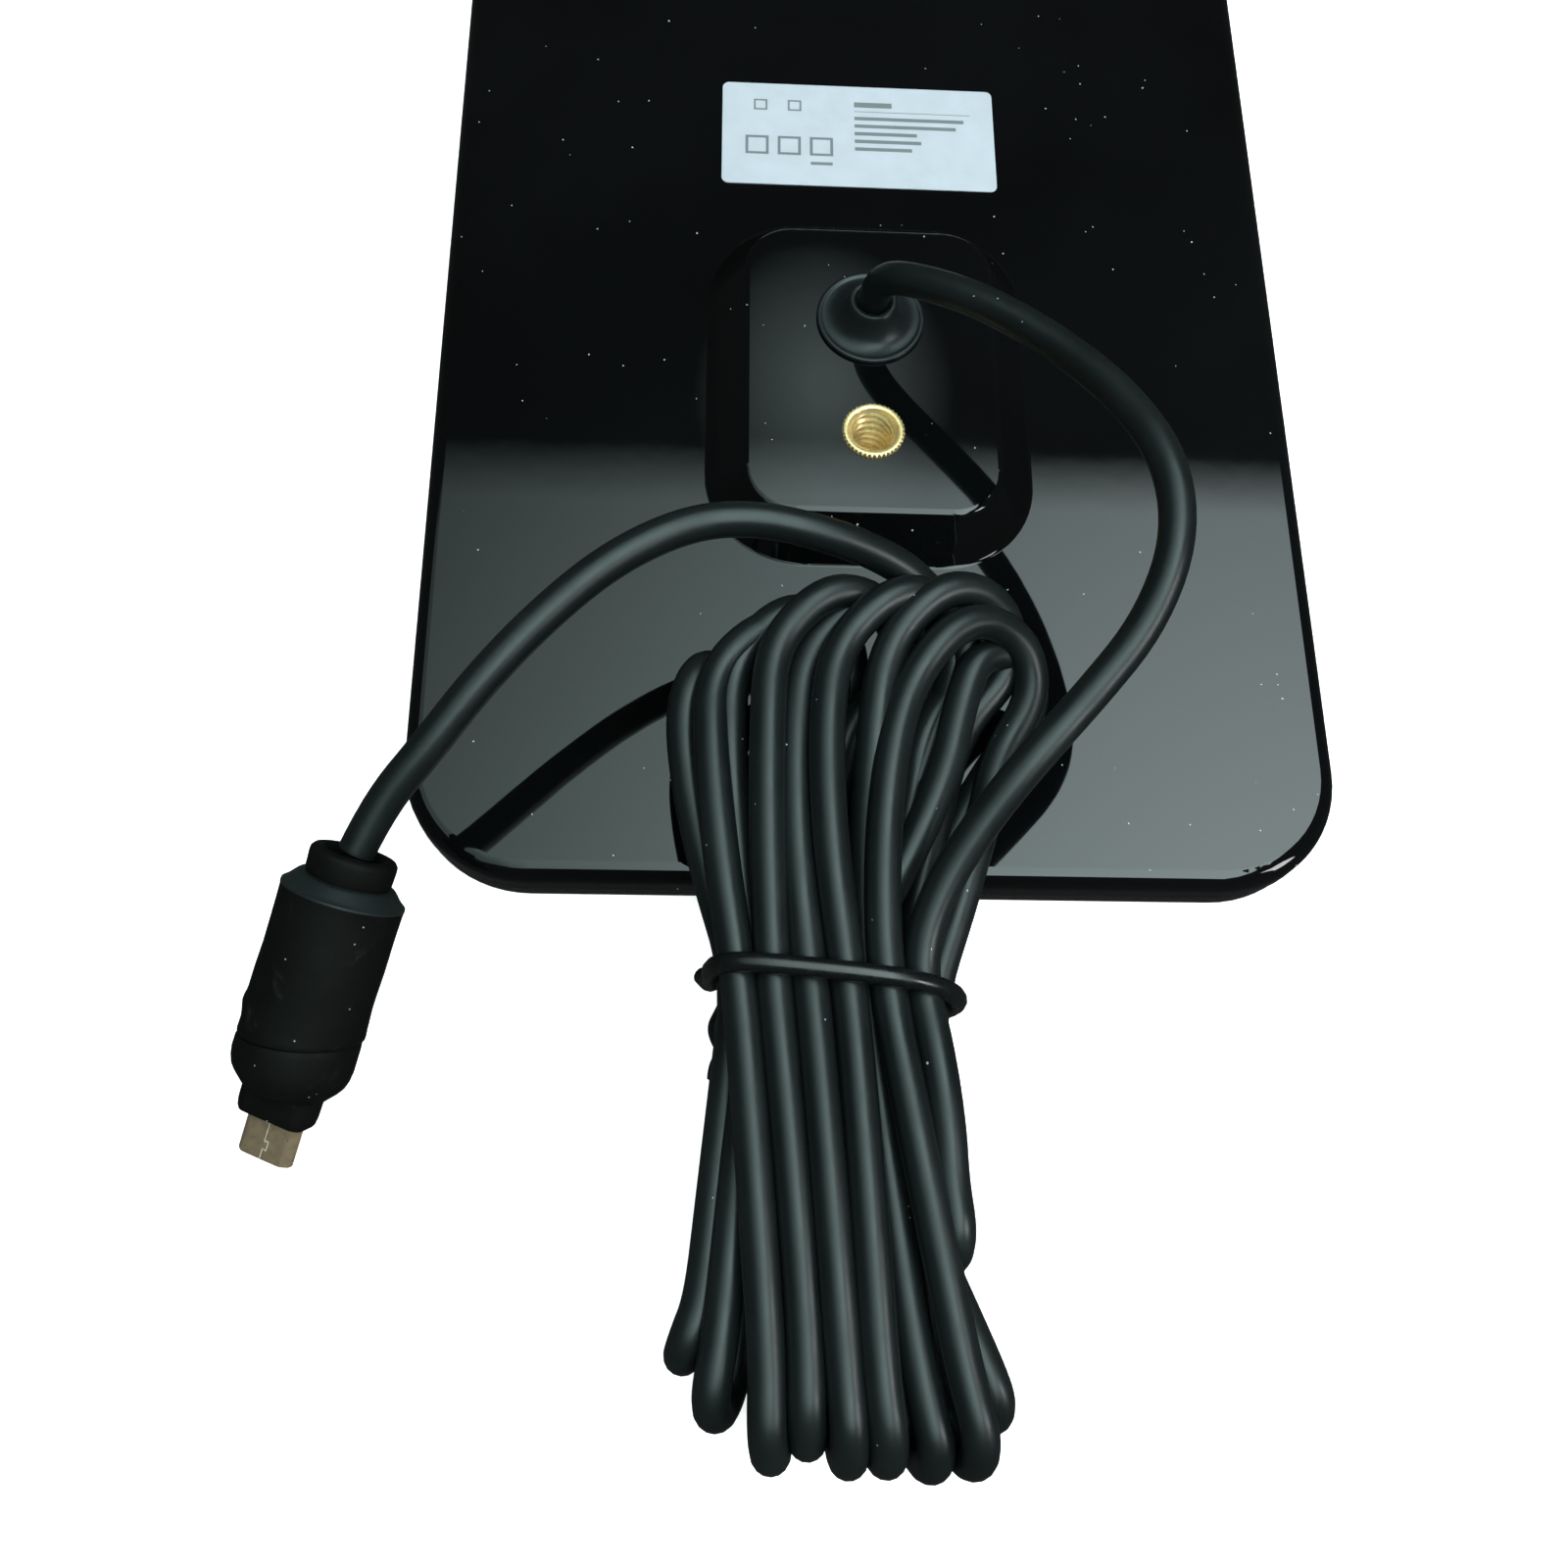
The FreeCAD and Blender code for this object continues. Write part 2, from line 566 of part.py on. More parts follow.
def place_on_plug(shape):
    """Turn a piece about the plug's own axis, tip it along the axis and move it to the tip."""
    placed = shape.copy()
    tilt = FreeCAD.Rotation(Vec(0, 0, 1), PLUG_AXIS)
    roll = FreeCAD.Rotation(Vec(0, 0, 1), PLUG_ROLL)
    rear = PLUG_REAR - Vec(PLUG_AXIS).normalize() * PLUG_LENGTH
    placed.Placement = FreeCAD.Placement(rear, tilt.multiply(roll))
    return placed


def usb_shell():
    """Folded steel shell with its two lower corners cut, as the connector's standard has it."""
    return shell_bar(SHELL_SIZE[0], SHELL_SIZE[1], 0.0, SHELL_OUTSIDE + SHELL_ROOT).cut(
        shell_bar(SHELL_SIZE[0] - 2 * SHELL_WALL, SHELL_SIZE[1] - 2 * SHELL_WALL, -1.0,
                  SHELL_OUTSIDE + SHELL_ROOT + 1.0))


def shell_bar(width, height, low, high):
    """Six-sided bar of the connector's section."""
    slant = height * 0.45
    hw = width / 2
    hh = height / 2
    points = [Vec(-hw, hh, low), Vec(hw, hh, low), Vec(hw, hh - height * 0.5, low),
              Vec(hw - slant, -hh, low), Vec(-hw + slant, -hh, low), Vec(-hw, hh - height * 0.5, low)]
    points.append(points[0])
    return Part.Face(Part.makePolygon(points)).extrude(Vec(0, 0, high - low))


def usb_insulator():
    """Black tongue inside the shell."""
    tongue = block((4.4, 0.6, SHELL_OUTSIDE + SHELL_ROOT - 0.4), (-2.2, 0.0, 0.4))
    base = shell_bar(SHELL_SIZE[0] - 2 * SHELL_WALL, SHELL_SIZE[1] - 2 * SHELL_WALL,
                     SHELL_OUTSIDE + 1.0, SHELL_OUTSIDE + SHELL_ROOT)
    return tongue.fuse(base)


def usb_contacts():
    """Five flat contacts under the tongue."""
    contacts = []
    for i in range(CONTACT_COUNT):
        x = (i - (CONTACT_COUNT - 1) / 2) * CONTACT_PITCH
        size = (CONTACT_WIDTH, 0.15, SHELL_OUTSIDE - 0.2)
        contacts.append(block(size, (x - CONTACT_WIDTH / 2, -0.15, 0.8)))
    return Part.makeCompound(contacts)


def plug_inner_body():
    """One moulding: collar at the cord, core under the sleeve, front stage and flat nose."""
    nose = slab(NOSE_SIZE[0], NOSE_SIZE[1], NOSE_CORNER, NOSE_START, STAGE_START)
    stage = rod(STAGE_RADIUS, STAGE_LENGTH, Vec(0, 0, STAGE_START))
    front_edges = []
    for edge in stage.Edges:
        if abs(edge.BoundBox.ZMax - STAGE_START) < 1e-6:
            front_edges.append(edge)
    stage = stage.makeChamfer(STAGE_BEVEL, front_edges)
    core = rod(CORE_OF_PLUG_RADIUS, SLEEVE_LENGTH, Vec(0, 0, SLEEVE_START))
    collar = rod(COLLAR_RADIUS, COLLAR_LENGTH, Vec(0, 0, COLLAR_START))
    body = nose.fuse(stage).fuse(core).fuse(collar)
    socket = shell_bar(SHELL_SIZE[0], SHELL_SIZE[1], NOSE_START - 1.0, SHELL_OUTSIDE + SHELL_ROOT)
    return body.cut(socket)


def plug_sleeve():
    """Rubber barrel stretched over the plug's core."""
    barrel = rod(SLEEVE_RADIUS, SLEEVE_LENGTH, Vec(0, 0, SLEEVE_START))
    shoulder = []
    for edge in barrel.Edges:
        if abs(edge.BoundBox.ZMin - COLLAR_START) < 1e-6:
            shoulder.append(edge)
    barrel = barrel.makeChamfer(SLEEVE_BEVEL, shoulder)
    return barrel.cut(rod(CORE_OF_PLUG_RADIUS, SLEEVE_LENGTH + 2.0, Vec(0, 0, SLEEVE_START - 1.0)))


def main():
    os.makedirs("parts", exist_ok=True)
    save("rear_housing", rear_housing())
    save("front_frame", front_frame())
    save("seal_bead", seal_bead())
    save("rating_label", rating_label())
    save("cover_sheet", laminate_sheet(COVER_BOTTOM, COVER_SHEET))
    save("front_film", laminate_sheet(FILM_BOTTOM, FRONT_FILM))
    for number, cell in enumerate(cell_grid(), 1):
        save("solar_cell_%d" % number, solar_cell(cell))
    save("cell_ribbons", cell_ribbons())
    save("rear_film", laminate_sheet(REAR_FILM_BOTTOM, REAR_FILM))
    save("backing_board", laminate_sheet(BOARD_BOTTOM, BOARD_THICKNESS))
    save("panel_terminals", panel_terminals())
    save("brass_insert", brass_insert())
    save("cable_grommet", cable_grommet())
    save("cord_inner_end", cord_inner_end())
    save("anchor_tie", anchor_tie())
    save("junction_board", junction_board())
    save("board_screws", board_screws())
    save("blocking_diode", blocking_diode())
    save("filter_capacitor", filter_capacitor())
    save("panel_wire_positive", panel_wire(1, "panel_wire_positive"))
    save("panel_wire_negative", panel_wire(-1, "panel_wire_negative"))
    save("cord_core_positive", cord_core(1, "cord_core_positive"))
    save("cord_core_negative", cord_core(-1, "cord_core_negative"))
    save("cord_lead", tube(LEAD_ROUTE, CORD_RADIUS, "cord_lead"))
    save("cord_hank", cord_hank())
    save("cord_tail", tube(TAIL_ROUTE, CORD_RADIUS, "cord_tail"))
    save("twist_tie", twist_tie())
    save("plug_inner_body", place_on_plug(plug_inner_body()))
    save("plug_sleeve", place_on_plug(plug_sleeve()))
    save("usb_shell", place_on_plug(usb_shell()))
    save("usb_insulator", place_on_plug(usb_insulator()))
    save("usb_contacts", place_on_plug(usb_contacts()))


main()
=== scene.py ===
"""Looks of the solar charging panel: glossy rear side up, cord in a tied hank, micro plug beside it."""

import math

import bmesh
import bpy
from mathutils import Matrix, Quaternion, Vector


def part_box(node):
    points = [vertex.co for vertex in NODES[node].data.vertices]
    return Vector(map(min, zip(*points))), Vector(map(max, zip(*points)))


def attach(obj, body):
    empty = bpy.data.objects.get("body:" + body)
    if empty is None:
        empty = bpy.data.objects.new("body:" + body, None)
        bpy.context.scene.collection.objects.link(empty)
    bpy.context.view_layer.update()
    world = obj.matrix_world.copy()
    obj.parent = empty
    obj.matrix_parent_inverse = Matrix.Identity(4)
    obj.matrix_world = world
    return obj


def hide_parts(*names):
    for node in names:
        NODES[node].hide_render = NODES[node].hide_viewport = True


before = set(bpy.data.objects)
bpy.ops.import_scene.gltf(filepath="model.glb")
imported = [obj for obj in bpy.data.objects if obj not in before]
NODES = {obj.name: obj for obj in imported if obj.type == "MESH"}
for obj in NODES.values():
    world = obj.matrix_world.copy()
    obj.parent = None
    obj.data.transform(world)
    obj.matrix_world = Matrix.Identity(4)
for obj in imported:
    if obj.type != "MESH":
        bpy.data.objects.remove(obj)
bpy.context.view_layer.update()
MM = 0.001

# ---- sizes that the imported CAD parts give ------------------------------------------------
housing_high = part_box("rear_housing")[1]
grommet_low, grommet_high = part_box("cable_grommet")
insert_low, insert_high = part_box("brass_insert")
label_low, label_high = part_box("rating_label")
BOSS_FACE_Z = housing_high.z
GROMMET_AXIS = Vector(((grommet_low.x + grommet_high.x) / 2, (grommet_low.y + grommet_high.y) / 2, 0))
INSERT_AXIS = Vector(((insert_low.x + insert_high.x) / 2, (insert_low.y + insert_high.y) / 2, 0))

# ---- sizes and places of the cord and the plug, as in the CAD ------------------------------
CORD_DIAMETER = 4.2 * MM
PLUG_REAR = Vector((-60.1, -96.9, 19.2)) * MM
PLUG_TIP = Vector((-71.2, -128.6, 2.9)) * MM
PLUG_LENGTH = 37.2 * MM
PLUG_ROLL = math.radians(-27.0)


# ---- camera --------------------------------------------------------------------------------
def make_camera():
    data = bpy.data.cameras.new("camera")
    data.sensor_width = 36.0
    data.lens = 33.897
    data.shift_x = 0.00593
    data.shift_y = 0.03074
    data.clip_start = 0.005
    camera = bpy.data.objects.new("camera", data)
    camera.location = (-0.021186, -0.149486, 0.177677)
    camera.rotation_euler = (0.337982, -0.049727, -0.000694)
    bpy.context.scene.collection.objects.link(camera)
    bpy.context.scene.camera = camera


make_camera()

# ---- cord: one spline from the grommet through the hank to the plug --------------------------
# Millimetres. The lead and the tail repeat the solid cord's route, except that the lead starts 0.8 mm
# lower in the grommet and the tail's first three points lead it out of the hank.
LEAD_ROUTE = [
    (0.0, -18.0, 16.6), (0.0, -18.2, 20.2), (1.6, -19.6, 23.8), (5.6, -22.8, 26.6),
    (12.0, -27.6, 29.4), (20.0, -35.2, 31.8), (26.4, -44.6, 35.0), (30.4, -55.0, 37.6),
    (31.0, -64.6, 36.6), (27.8, -73.2, 32.8), (21.4, -80.8, 30.2), (14.2, -88.5, 28.0),
    (9.6, -94.0, 24.8), (5.7, -99.7, 21.8), (3.2, -105.8, 19.2),
]
TAIL_ROUTE = [
    (-1.0, -99.5, 11.5), (3.9, -85.7, 14.5), (8.8, -72.4, 16.5),
    (7.8, -66.0, 19.5), (3.2, -62.0, 22.6), (-2.7, -60.6, 26.0), (-9.6, -59.8, 28.6),
    (-16.6, -59.2, 29.8), (-23.8, -60.4, 30.2), (-32.0, -65.2, 30.4), (-39.4, -71.8, 29.4),
    (-46.4, -79.4, 27.6), (-52.2, -86.6, 24.8), (-57.3, -91.9, 21.8), (-60.1, -96.9, 19.2),
]
TIE_Y = -110.5
TIE_SLOPE = -0.09
TIE_MIDDLE_X = -6.0

# Loops of the hank's far end, in winding order with the near ones: tip of the loop, half its width,
# its lean and its turn to the right in degrees, the upper strand's place (x, z) under the tie and the
# lower strand's, then how far the upper strand bulges up and how far the two bow sideways.
FAR_LOOPS = [
    ((16.3, -70.7, 17.2), 5.4, 54, 4, (-6.9, 14.8), (0.8, 8.4), 0.6, 3.0, -2.0),
    ((15.0, -69.0, 21.0), 7.2, 58, 16, (-1.0, 18.8), (4.8, 12.4), 1.2, -2.2, 0.6),
    ((13.2, -65.4, 21.4), 7.4, 54, 24, (-2.7, 14.8), (2.1, 12.4), 1.0, -1.3, -1.2),
    ((7.6, -66.2, 21.5), 7.4, 54, 26, (-5.1, 19.0), (-4.0, 10.6), 1.4, -2.2, 1.6),
    ((3.5, -66.6, 18.2), 7.2, 56, 24, (-9.4, 19.1), (-11.1, 14.6), 0.6, -1.8, 3.4),
    ((-0.4, -66.2, 21.3), 7.3, 54, 28, (-13.5, 18.9), (-8.6, 10.4), 1.2, -0.8, -1.0),
    ((-6.1, -67.0, 18.8), 6.8, 56, 28, (-15.1, 14.9), (-10.4, 6.6), 1.0, -1.5, 0.6),
    ((-7.6, -69.4, 18.3), 7.0, 58, 32, (-17.3, 18.6), (-12.9, 10.4), 1.0, -1.2, 1.0),
    ((-20.0, -71.8, 15.4), 4.4, 34, 14, (-17.0, 14.4), (-16.6, 10.2), 0.4, -1.4, -1.0),
]
# Loops of the near end: tip, half width, lean, turn, bulge, bows. The first is the short one.
NEAR_LOOPS = [
    ((5.8, -140.0, 12.0), 4.4, -14, -2, 1.0, 0.6, -0.6),
    ((10.6, -156.1, 6.4), 4.0, -12, -4, 0.6, -0.8, -1.2),
    ((8.1, -160.5, 8.4), 5.6, -10, -6, 1.2, -0.2, -0.6),
    ((3.8, -160.9, 7.2), 4.8, -8, -4, 0.6, -0.6, -0.6),
    ((-1.1, -160.2, 8.6), 5.6, -2, 0, 1.4, 0.0, -0.2),
    ((-5.1, -160.3, 8.6), 5.6, 0, 0, 1.4, 0.0, 0.0),
    ((-9.3, -158.5, 8.4), 5.6, 4, 2, 1.2, 0.2, 0.2),
    ((-19.0, -155.8, 6.6), 4.4, 14, 4, 0.6, 0.0, 0.0),
    ((-13.1, -159.9, 8.0), 5.4, 8, 4, 1.2, 0.2, 0.4),
    ((-22.7, -150.0, 6.0), 3.8, 4, 6, 0.4, 0.0, -0.2),
]
LEAD_SLOT = (3.2, 17.6)
TAIL_SLOT = (-6.2, 6.6)
REST_ON_PANEL = 10.2
REST_ON_GROUND = 2.15
SLOPE_START_Y = -99.0
EDGE_SLOPE = 0.35
UP = Vector((0, 0, 1))


def tie_slot(place):
    """A strand's place under the tie."""
    x, z = place
    return Vector((x, TIE_Y + TIE_SLOPE * (x - TIE_MIDDLE_X), z))


def laid(point):
    """Keeps a strand on what it rests on: the panel, a slope past its edge, then the ground."""
    slope = REST_ON_PANEL - EDGE_SLOPE * max(0.0, SLOPE_START_Y - point.y)
    return Vector((point.x, point.y, max(point.z, slope, REST_ON_GROUND)))


def loop_end(start, end, tip, half, lean, veer, starts_above, bulge, upper_bow, lower_bow):
    """Control points of one open loop, from a strand under the tie round to its other strand."""
    tip = Vector(tip)
    along = (tip - (start + end) / 2).normalized()
    along.rotate(Quaternion(UP, math.radians(-veer)))
    sideways = along.cross(UP).normalized()
    if sideways.x < 0:
        sideways = -sideways
    upwards = sideways.cross(along)
    if upwards.z < 0:
        upwards = -upwards
    turn = math.radians(lean)
    across = upwards * math.cos(turn) - sideways * math.sin(turn)
    centre = tip - along * half
    first_side = 1.0 if starts_above else -1.0

    def strand(place, side):
        root = centre + across * side * half * 0.98 - along * half * 0.75
        bow = upper_bow if side > 0 else lower_bow
        lift = bulge if side > 0 else 0.0
        return [place.lerp(root, 0.36) + Vector((bow * 0.85, 0.0, lift)),
                place.lerp(root, 0.72) + Vector((bow, 0.0, lift * 0.8)),
                root + Vector((bow * 0.35, 0.0, 0.0))]

    arch = []
    for forward, side in ((0.414, 1.0), (1.0, 0.414), (1.0, -0.414), (0.414, -1.0)):
        arch.append(centre + along * forward * half + across * first_side * side * half)
    points = strand(start, first_side) + arch + strand(end, -first_side)[::-1]
    return [laid(point) for point in points]


def hank_points():
    """All the turns of the hank: a near loop, a far loop, and so on to the last near loop."""
    here = tie_slot(LEAD_SLOT)
    points = [here]
    for number, near in enumerate(NEAR_LOOPS):
        tip, half, lean, veer, bulge, upper_bow, lower_bow = near
        last = number == len(FAR_LOOPS)
        below = tie_slot(TAIL_SLOT if last else FAR_LOOPS[number][5])
        points += loop_end(here, below, tip, half, lean, veer, True, bulge, upper_bow, lower_bow) + [below]
        if last:
            break
        tip, half, lean, veer, above_place, _, bulge, upper_bow, lower_bow = FAR_LOOPS[number]
        above = tie_slot(above_place)
        points += loop_end(below, above, tip, half, lean, veer, False, bulge, upper_bow, lower_bow) + [above]
        here = above
    return points


def spline_curve(name, points, radius, resolution=6, rings=6):
    """A round wire along one smooth open spline; points are in metres."""
    data = bpy.data.curves.new(name, "CURVE")
    data.dimensions = "3D"
    spline = data.splines.new("NURBS")
    spline.points.add(len(points) - 1)
    for spot, point in zip(spline.points, points):
        spot.co = (point[0], point[1], point[2], 1.0)
    spline.order_u = 3
    spline.use_endpoint_u = True
    spline.resolution_u = resolution
    data.bevel_depth = radius
    data.bevel_resolution = rings
    data.use_fill_caps = True
    piece = bpy.data.objects.new(name, data)
    bpy.context.scene.collection.objects.link(piece)
    return piece


route = [Vector(p) for p in LEAD_ROUTE] + hank_points() + [Vector(p) for p in TAIL_ROUTE]
cord = spline_curve("charging_cord", [p * MM for p in route], CORD_DIAMETER / 2)


# ---- mesh helpers ----------------------------------------------------------------------------
def piece_from_bmesh(name, bm, smooth_angle=40.0):
    mesh = bpy.data.meshes.new(name)
    bmesh.ops.recalc_face_normals(bm, faces=bm.faces)
    bm.to_mesh(mesh)
    bm.free()
    piece = bpy.data.objects.new(name, mesh)
    bpy.context.scene.collection.objects.link(piece)
    shade(piece, smooth_angle)
    return piece


def shade(piece, angle):
    """Smooth shading that keeps edges sharper than the angle."""
    mesh = piece.data
    for polygon in mesh.polygons:
        polygon.use_smooth = True
    mesh.set_sharp_from_angle(angle=math.radians(angle))


def lathe(name, profile, matrix, segments=96, smooth_angle=35.0, radius_at=None, slant_at=None):
    """A closed turned piece: profile is (radius, z) in millimetres, bottom to top, ring by ring."""
    bm = bmesh.new()
    rings = []
    for radius, z in profile:
        ring = []
        for i in range(segments):
            turn = 2 * math.pi * i / segments
            reach = radius_at(radius, z, turn) if radius_at else radius
            height = z + slant_at(z, turn) if slant_at else z
            ring.append(bm.verts.new(Vector((reach * math.cos(turn), reach * math.sin(turn), height)) * MM))
        rings.append(ring)
    for low, high in zip(rings, rings[1:] + rings[:1]):
        for i in range(segments):
            j = (i + 1) % segments
            bm.faces.new((low[i], low[j], high[j], high[i]))
    bm.transform(matrix)
    return piece_from_bmesh(name, bm, smooth_angle)


def upright(axis):
    return Matrix.Translation(Vector((axis.x, axis.y, 0.0)))


class Look:
    """A procedural material: a Principled shader with a few helpers for its node tree."""

    def __init__(self, name, color, roughness, metallic=0.0, **sockets):
        self.material = bpy.data.materials.new(name)
        self.material.use_nodes = True
        self.tree = self.material.node_tree
        self.shader = self.tree.nodes["Principled BSDF"]
        self.shader.inputs["Base Color"].default_value = (*color, 1.0)
        self.shader.inputs["Roughness"].default_value = roughness
        self.shader.inputs["Metallic"].default_value = metallic
        for socket, value in sockets.items():
            self.shader.inputs[socket.replace("_", " ")].default_value = value
        self.where = self.node("ShaderNodeTexCoord").outputs["Object"]
        self.normal = None

    def node(self, kind, **settings):
        made = self.tree.nodes.new(kind)
        for key, value in settings.items():
            setattr(made, key, value)
        return made

    def link(self, output, target):
        self.tree.links.new(output, target)

    def noise(self, scale, detail=4.0, stretch=None, rough=0.5):
        made = self.node("ShaderNodeTexNoise")
        made.inputs["Scale"].default_value = scale
        made.inputs["Detail"].default_value = detail
        made.inputs["Roughness"].default_value = rough
        self.link(self.placed(stretch), made.inputs["Vector"])
        return made.outputs["Fac"]

    def placed(self, stretch=None, shift=(0, 0, 0)):
        if stretch is None and shift == (0, 0, 0):
            return self.where
        mapping = self.node("ShaderNodeMapping")
        mapping.inputs["Scale"].default_value = stretch or (1, 1, 1)
        mapping.inputs["Location"].default_value = shift
        self.link(self.where, mapping.inputs["Vector"])
        return mapping.outputs["Vector"]

    def span(self, value, low, high, out_low, out_high):
        made = self.node("ShaderNodeMapRange")
        for key, number in zip(("From Min", "From Max", "To Min", "To Max"), (low, high, out_low, out_high)):
            made.inputs[key].default_value = number
        self.link(value, made.inputs["Value"])
        return made.outputs["Result"]

    def math(self, operation, a, b):
        made = self.node("ShaderNodeMath", operation=operation)
        for i, value in enumerate((a, b)):
            if isinstance(value, (int, float)):
                made.inputs[i].default_value = value
            else:
                self.link(value, made.inputs[i])
        return made.outputs[0]

    def blend(self, share, a, b):
        made = self.node("ShaderNodeMix", data_type="RGBA")
        self.link(share, made.inputs["Factor"])
        for socket, value in ((made.inputs[6], a), (made.inputs[7], b)):
            if isinstance(value, tuple):
                socket.default_value = (*value, 1.0)
            else:
                self.link(value, socket)
        return made.outputs[2]

    def bump(self, height, strength, distance):
        made = self.node("ShaderNodeBump")
        made.inputs["Strength"].default_value = strength
        made.inputs["Distance"].default_value = distance
        self.link(height, made.inputs["Height"])
        if self.normal is not None:
            self.link(self.normal, made.inputs["Normal"])
        self.normal = made.outputs["Normal"]
        self.link(self.normal, self.shader.inputs["Normal"])

    def color(self, value):
        self.link(value, self.shader.inputs["Base Color"])

    def roughness(self, value):
        self.link(value, self.shader.inputs["Roughness"])

    def specks(self, scale, size, share, shift=(0, 0, 0)):
        """Scattered dust: 1 on a speck, 0 between specks; only a share of the cells has one."""
        cells = self.node("ShaderNodeTexVoronoi")
        cells.inputs["Scale"].default_value = scale
        cells.inputs["Randomness"].default_value = 1.0
        self.link(self.placed(shift=shift), cells.inputs["Vector"])
        near = self.math("LESS_THAN", cells.outputs["Distance"], size)
        parts = self.node("ShaderNodeSeparateColor")
        self.link(cells.outputs["Color"], parts.inputs["Color"])
        chosen = self.math("LESS_THAN", parts.outputs["Red"], share)
        return self.math("MULTIPLY", near, chosen)


def gloss_black():
    look = Look("gloss_black", (0.002, 0.0022, 0.0024), 0.035, Specular_IOR_Level=0.5, IOR=1.5)
    dust = look.math("MAXIMUM", look.specks(420, 0.055, 0.10), look.specks(900, 0.09, 0.04, shift=(3, 1, 2)))
    film = look.noise(26, 5.0)
    filmed = look.span(film, 0.35, 0.8, 0.0, 1.0)
    base = look.blend(filmed, (0.0012, 0.0015, 0.0016), (0.0028, 0.0032, 0.0034))
    look.color(look.blend(dust, base, (0.42, 0.45, 0.45)))
    rough = look.span(look.noise(60, 6.0), 0.4, 0.75, 0.018, 0.05)
    look.roughness(look.math("MAXIMUM", rough, look.math("MULTIPLY", dust, 0.8)))
    look.bump(look.noise(130, 2.0), 0.015, 0.0004)
    return look.material


def matt_black():
    look = Look("matt_frame", (0.008, 0.008, 0.0078), 0.42)
    look.color(look.blend(look.noise(300, 3.0), (0.006, 0.0058, 0.0055), (0.012, 0.0108, 0.010)))
    look.roughness(look.span(look.noise(900, 4.0), 0.3, 0.7, 0.34, 0.55))
    look.bump(look.noise(2600, 3.0), 0.25, 0.00006)
    return look.material


def cord_rubber(name="cord_rubber", dark=(0.0035, 0.0050, 0.0049), pale=(0.0075, 0.0100, 0.0098)):
    look = Look(name, dark, 0.36, Specular_IOR_Level=0.41, Specular_Tint=(0.92, 1.0, 1.0, 1.0))
    dust = look.math("MAXIMUM", look.specks(330, 0.05, 0.09), look.specks(760, 0.07, 0.05, shift=(1, 4, 2)))
    base = look.blend(look.span(look.noise(45, 5.0), 0.3, 0.75, 0.0, 1.0), dark, pale)
    look.color(look.blend(dust, base, (0.42, 0.44, 0.43)))
    look.roughness(look.span(look.noise(220, 5.0), 0.3, 0.7, 0.32, 0.42))
    look.bump(look.noise(1500, 4.0), 0.16, 0.00008)
    look.bump(look.noise(170, 3.0), 0.10, 0.0004)
    return look.material


def plug_rubber():
    look = Look("plug_rubber", (0.003, 0.0032, 0.003), 0.6, Specular_IOR_Level=0.10)
    dust = look.math("MAXIMUM", look.specks(520, 0.06, 0.10), look.specks(1100, 0.10, 0.06, shift=(2, 2, 5)))
    scuffs = look.span(look.noise(160, 8.0, (1, 1, 3.5), 0.7), 0.62, 0.74, 0.0, 0.55)
    base = look.blend(look.noise(60, 5.0), (0.0016, 0.0019, 0.0016), (0.0034, 0.0038, 0.0034))
    worn = look.blend(scuffs, base, (0.024, 0.027, 0.025))
    look.color(look.blend(dust, worn, (0.33, 0.35, 0.33)))
    look.roughness(look.span(look.noise(300, 5.0), 0.3, 0.7, 0.52, 0.72))
    look.bump(look.noise(1900, 4.0), 0.3, 0.00009)
    look.bump(look.noise(240, 4.0), 0.12, 0.0003)
    return look.material


def metal(name, color, roughness, grain=900, wear=0.08, share=1.0):
    """Bare metal; a share below one gives plating dulled by handling."""
    look = Look(name, color, roughness, share)
    shade_by = look.noise(grain, 4.0)
    darker = tuple(c * 0.72 for c in color)
    look.color(look.blend(look.span(shade_by, 0.3, 0.7, 0.0, 1.0), darker, color))
    look.roughness(look.span(look.noise(grain * 0.6, 5.0), 0.3, 0.7, roughness - wear / 2, roughness + wear))
    look.bump(look.noise(grain * 2.2, 3.0), 0.06, 0.00002)
    return look.material


def plain_plastic(name, color, roughness, grain=1200, **sockets):
    """Moulded or printed stuff with a fine grain and a slight change of tone."""
    look = Look(name, color, roughness, **sockets)
    darker = tuple(c * 0.82 for c in color)
    look.color(look.blend(look.noise(grain * 0.25, 4.0), darker, color))
    smoother = roughness * 0.85
    rougher = min(1.0, roughness * 1.2)
    look.roughness(look.span(look.noise(grain * 0.5, 4.0), 0.3, 0.7, smoother, rougher))
    look.bump(look.noise(grain, 3.0), 0.12, 0.00006)
    return look.material


def paint(name_or_piece, material):
    piece = NODES[name_or_piece] if isinstance(name_or_piece, str) else name_or_piece
    piece.data.materials.clear()
    piece.data.materials.append(material)


GLOSS = gloss_black()
MATT = matt_black()
CORD = cord_rubber()
GROMMET = cord_rubber("grommet_rubber", (0.0050, 0.0068, 0.0072), (0.0100, 0.0125, 0.0132))
PLUG = plug_rubber()
# Rubber for the sleeve's shoulder bevel: glossier than the plug, and its lighter colour is a painted
# highlight along the shoulder.
PLUG_BEVEL_PAINTED_HIGHLIGHT = cord_rubber("plug_bevel_painted_highlight", (0.004, 0.006, 0.006), (0.018, 0.023, 0.024))
BRASS = metal("brass", (0.98, 0.76, 0.36), 0.30, 2400, 0.05, 0.72)
STEEL = metal("connector_steel", (0.50, 0.38, 0.24), 0.28, 900, 0.08, 0.72)
TIN = metal("tinned", (0.72, 0.72, 0.70), 0.3)
GOLD = metal("contact_gold", (0.90, 0.66, 0.25), 0.2)
TIE = plain_plastic("tie_plastic", (0.0045, 0.0055, 0.0055), 0.26)

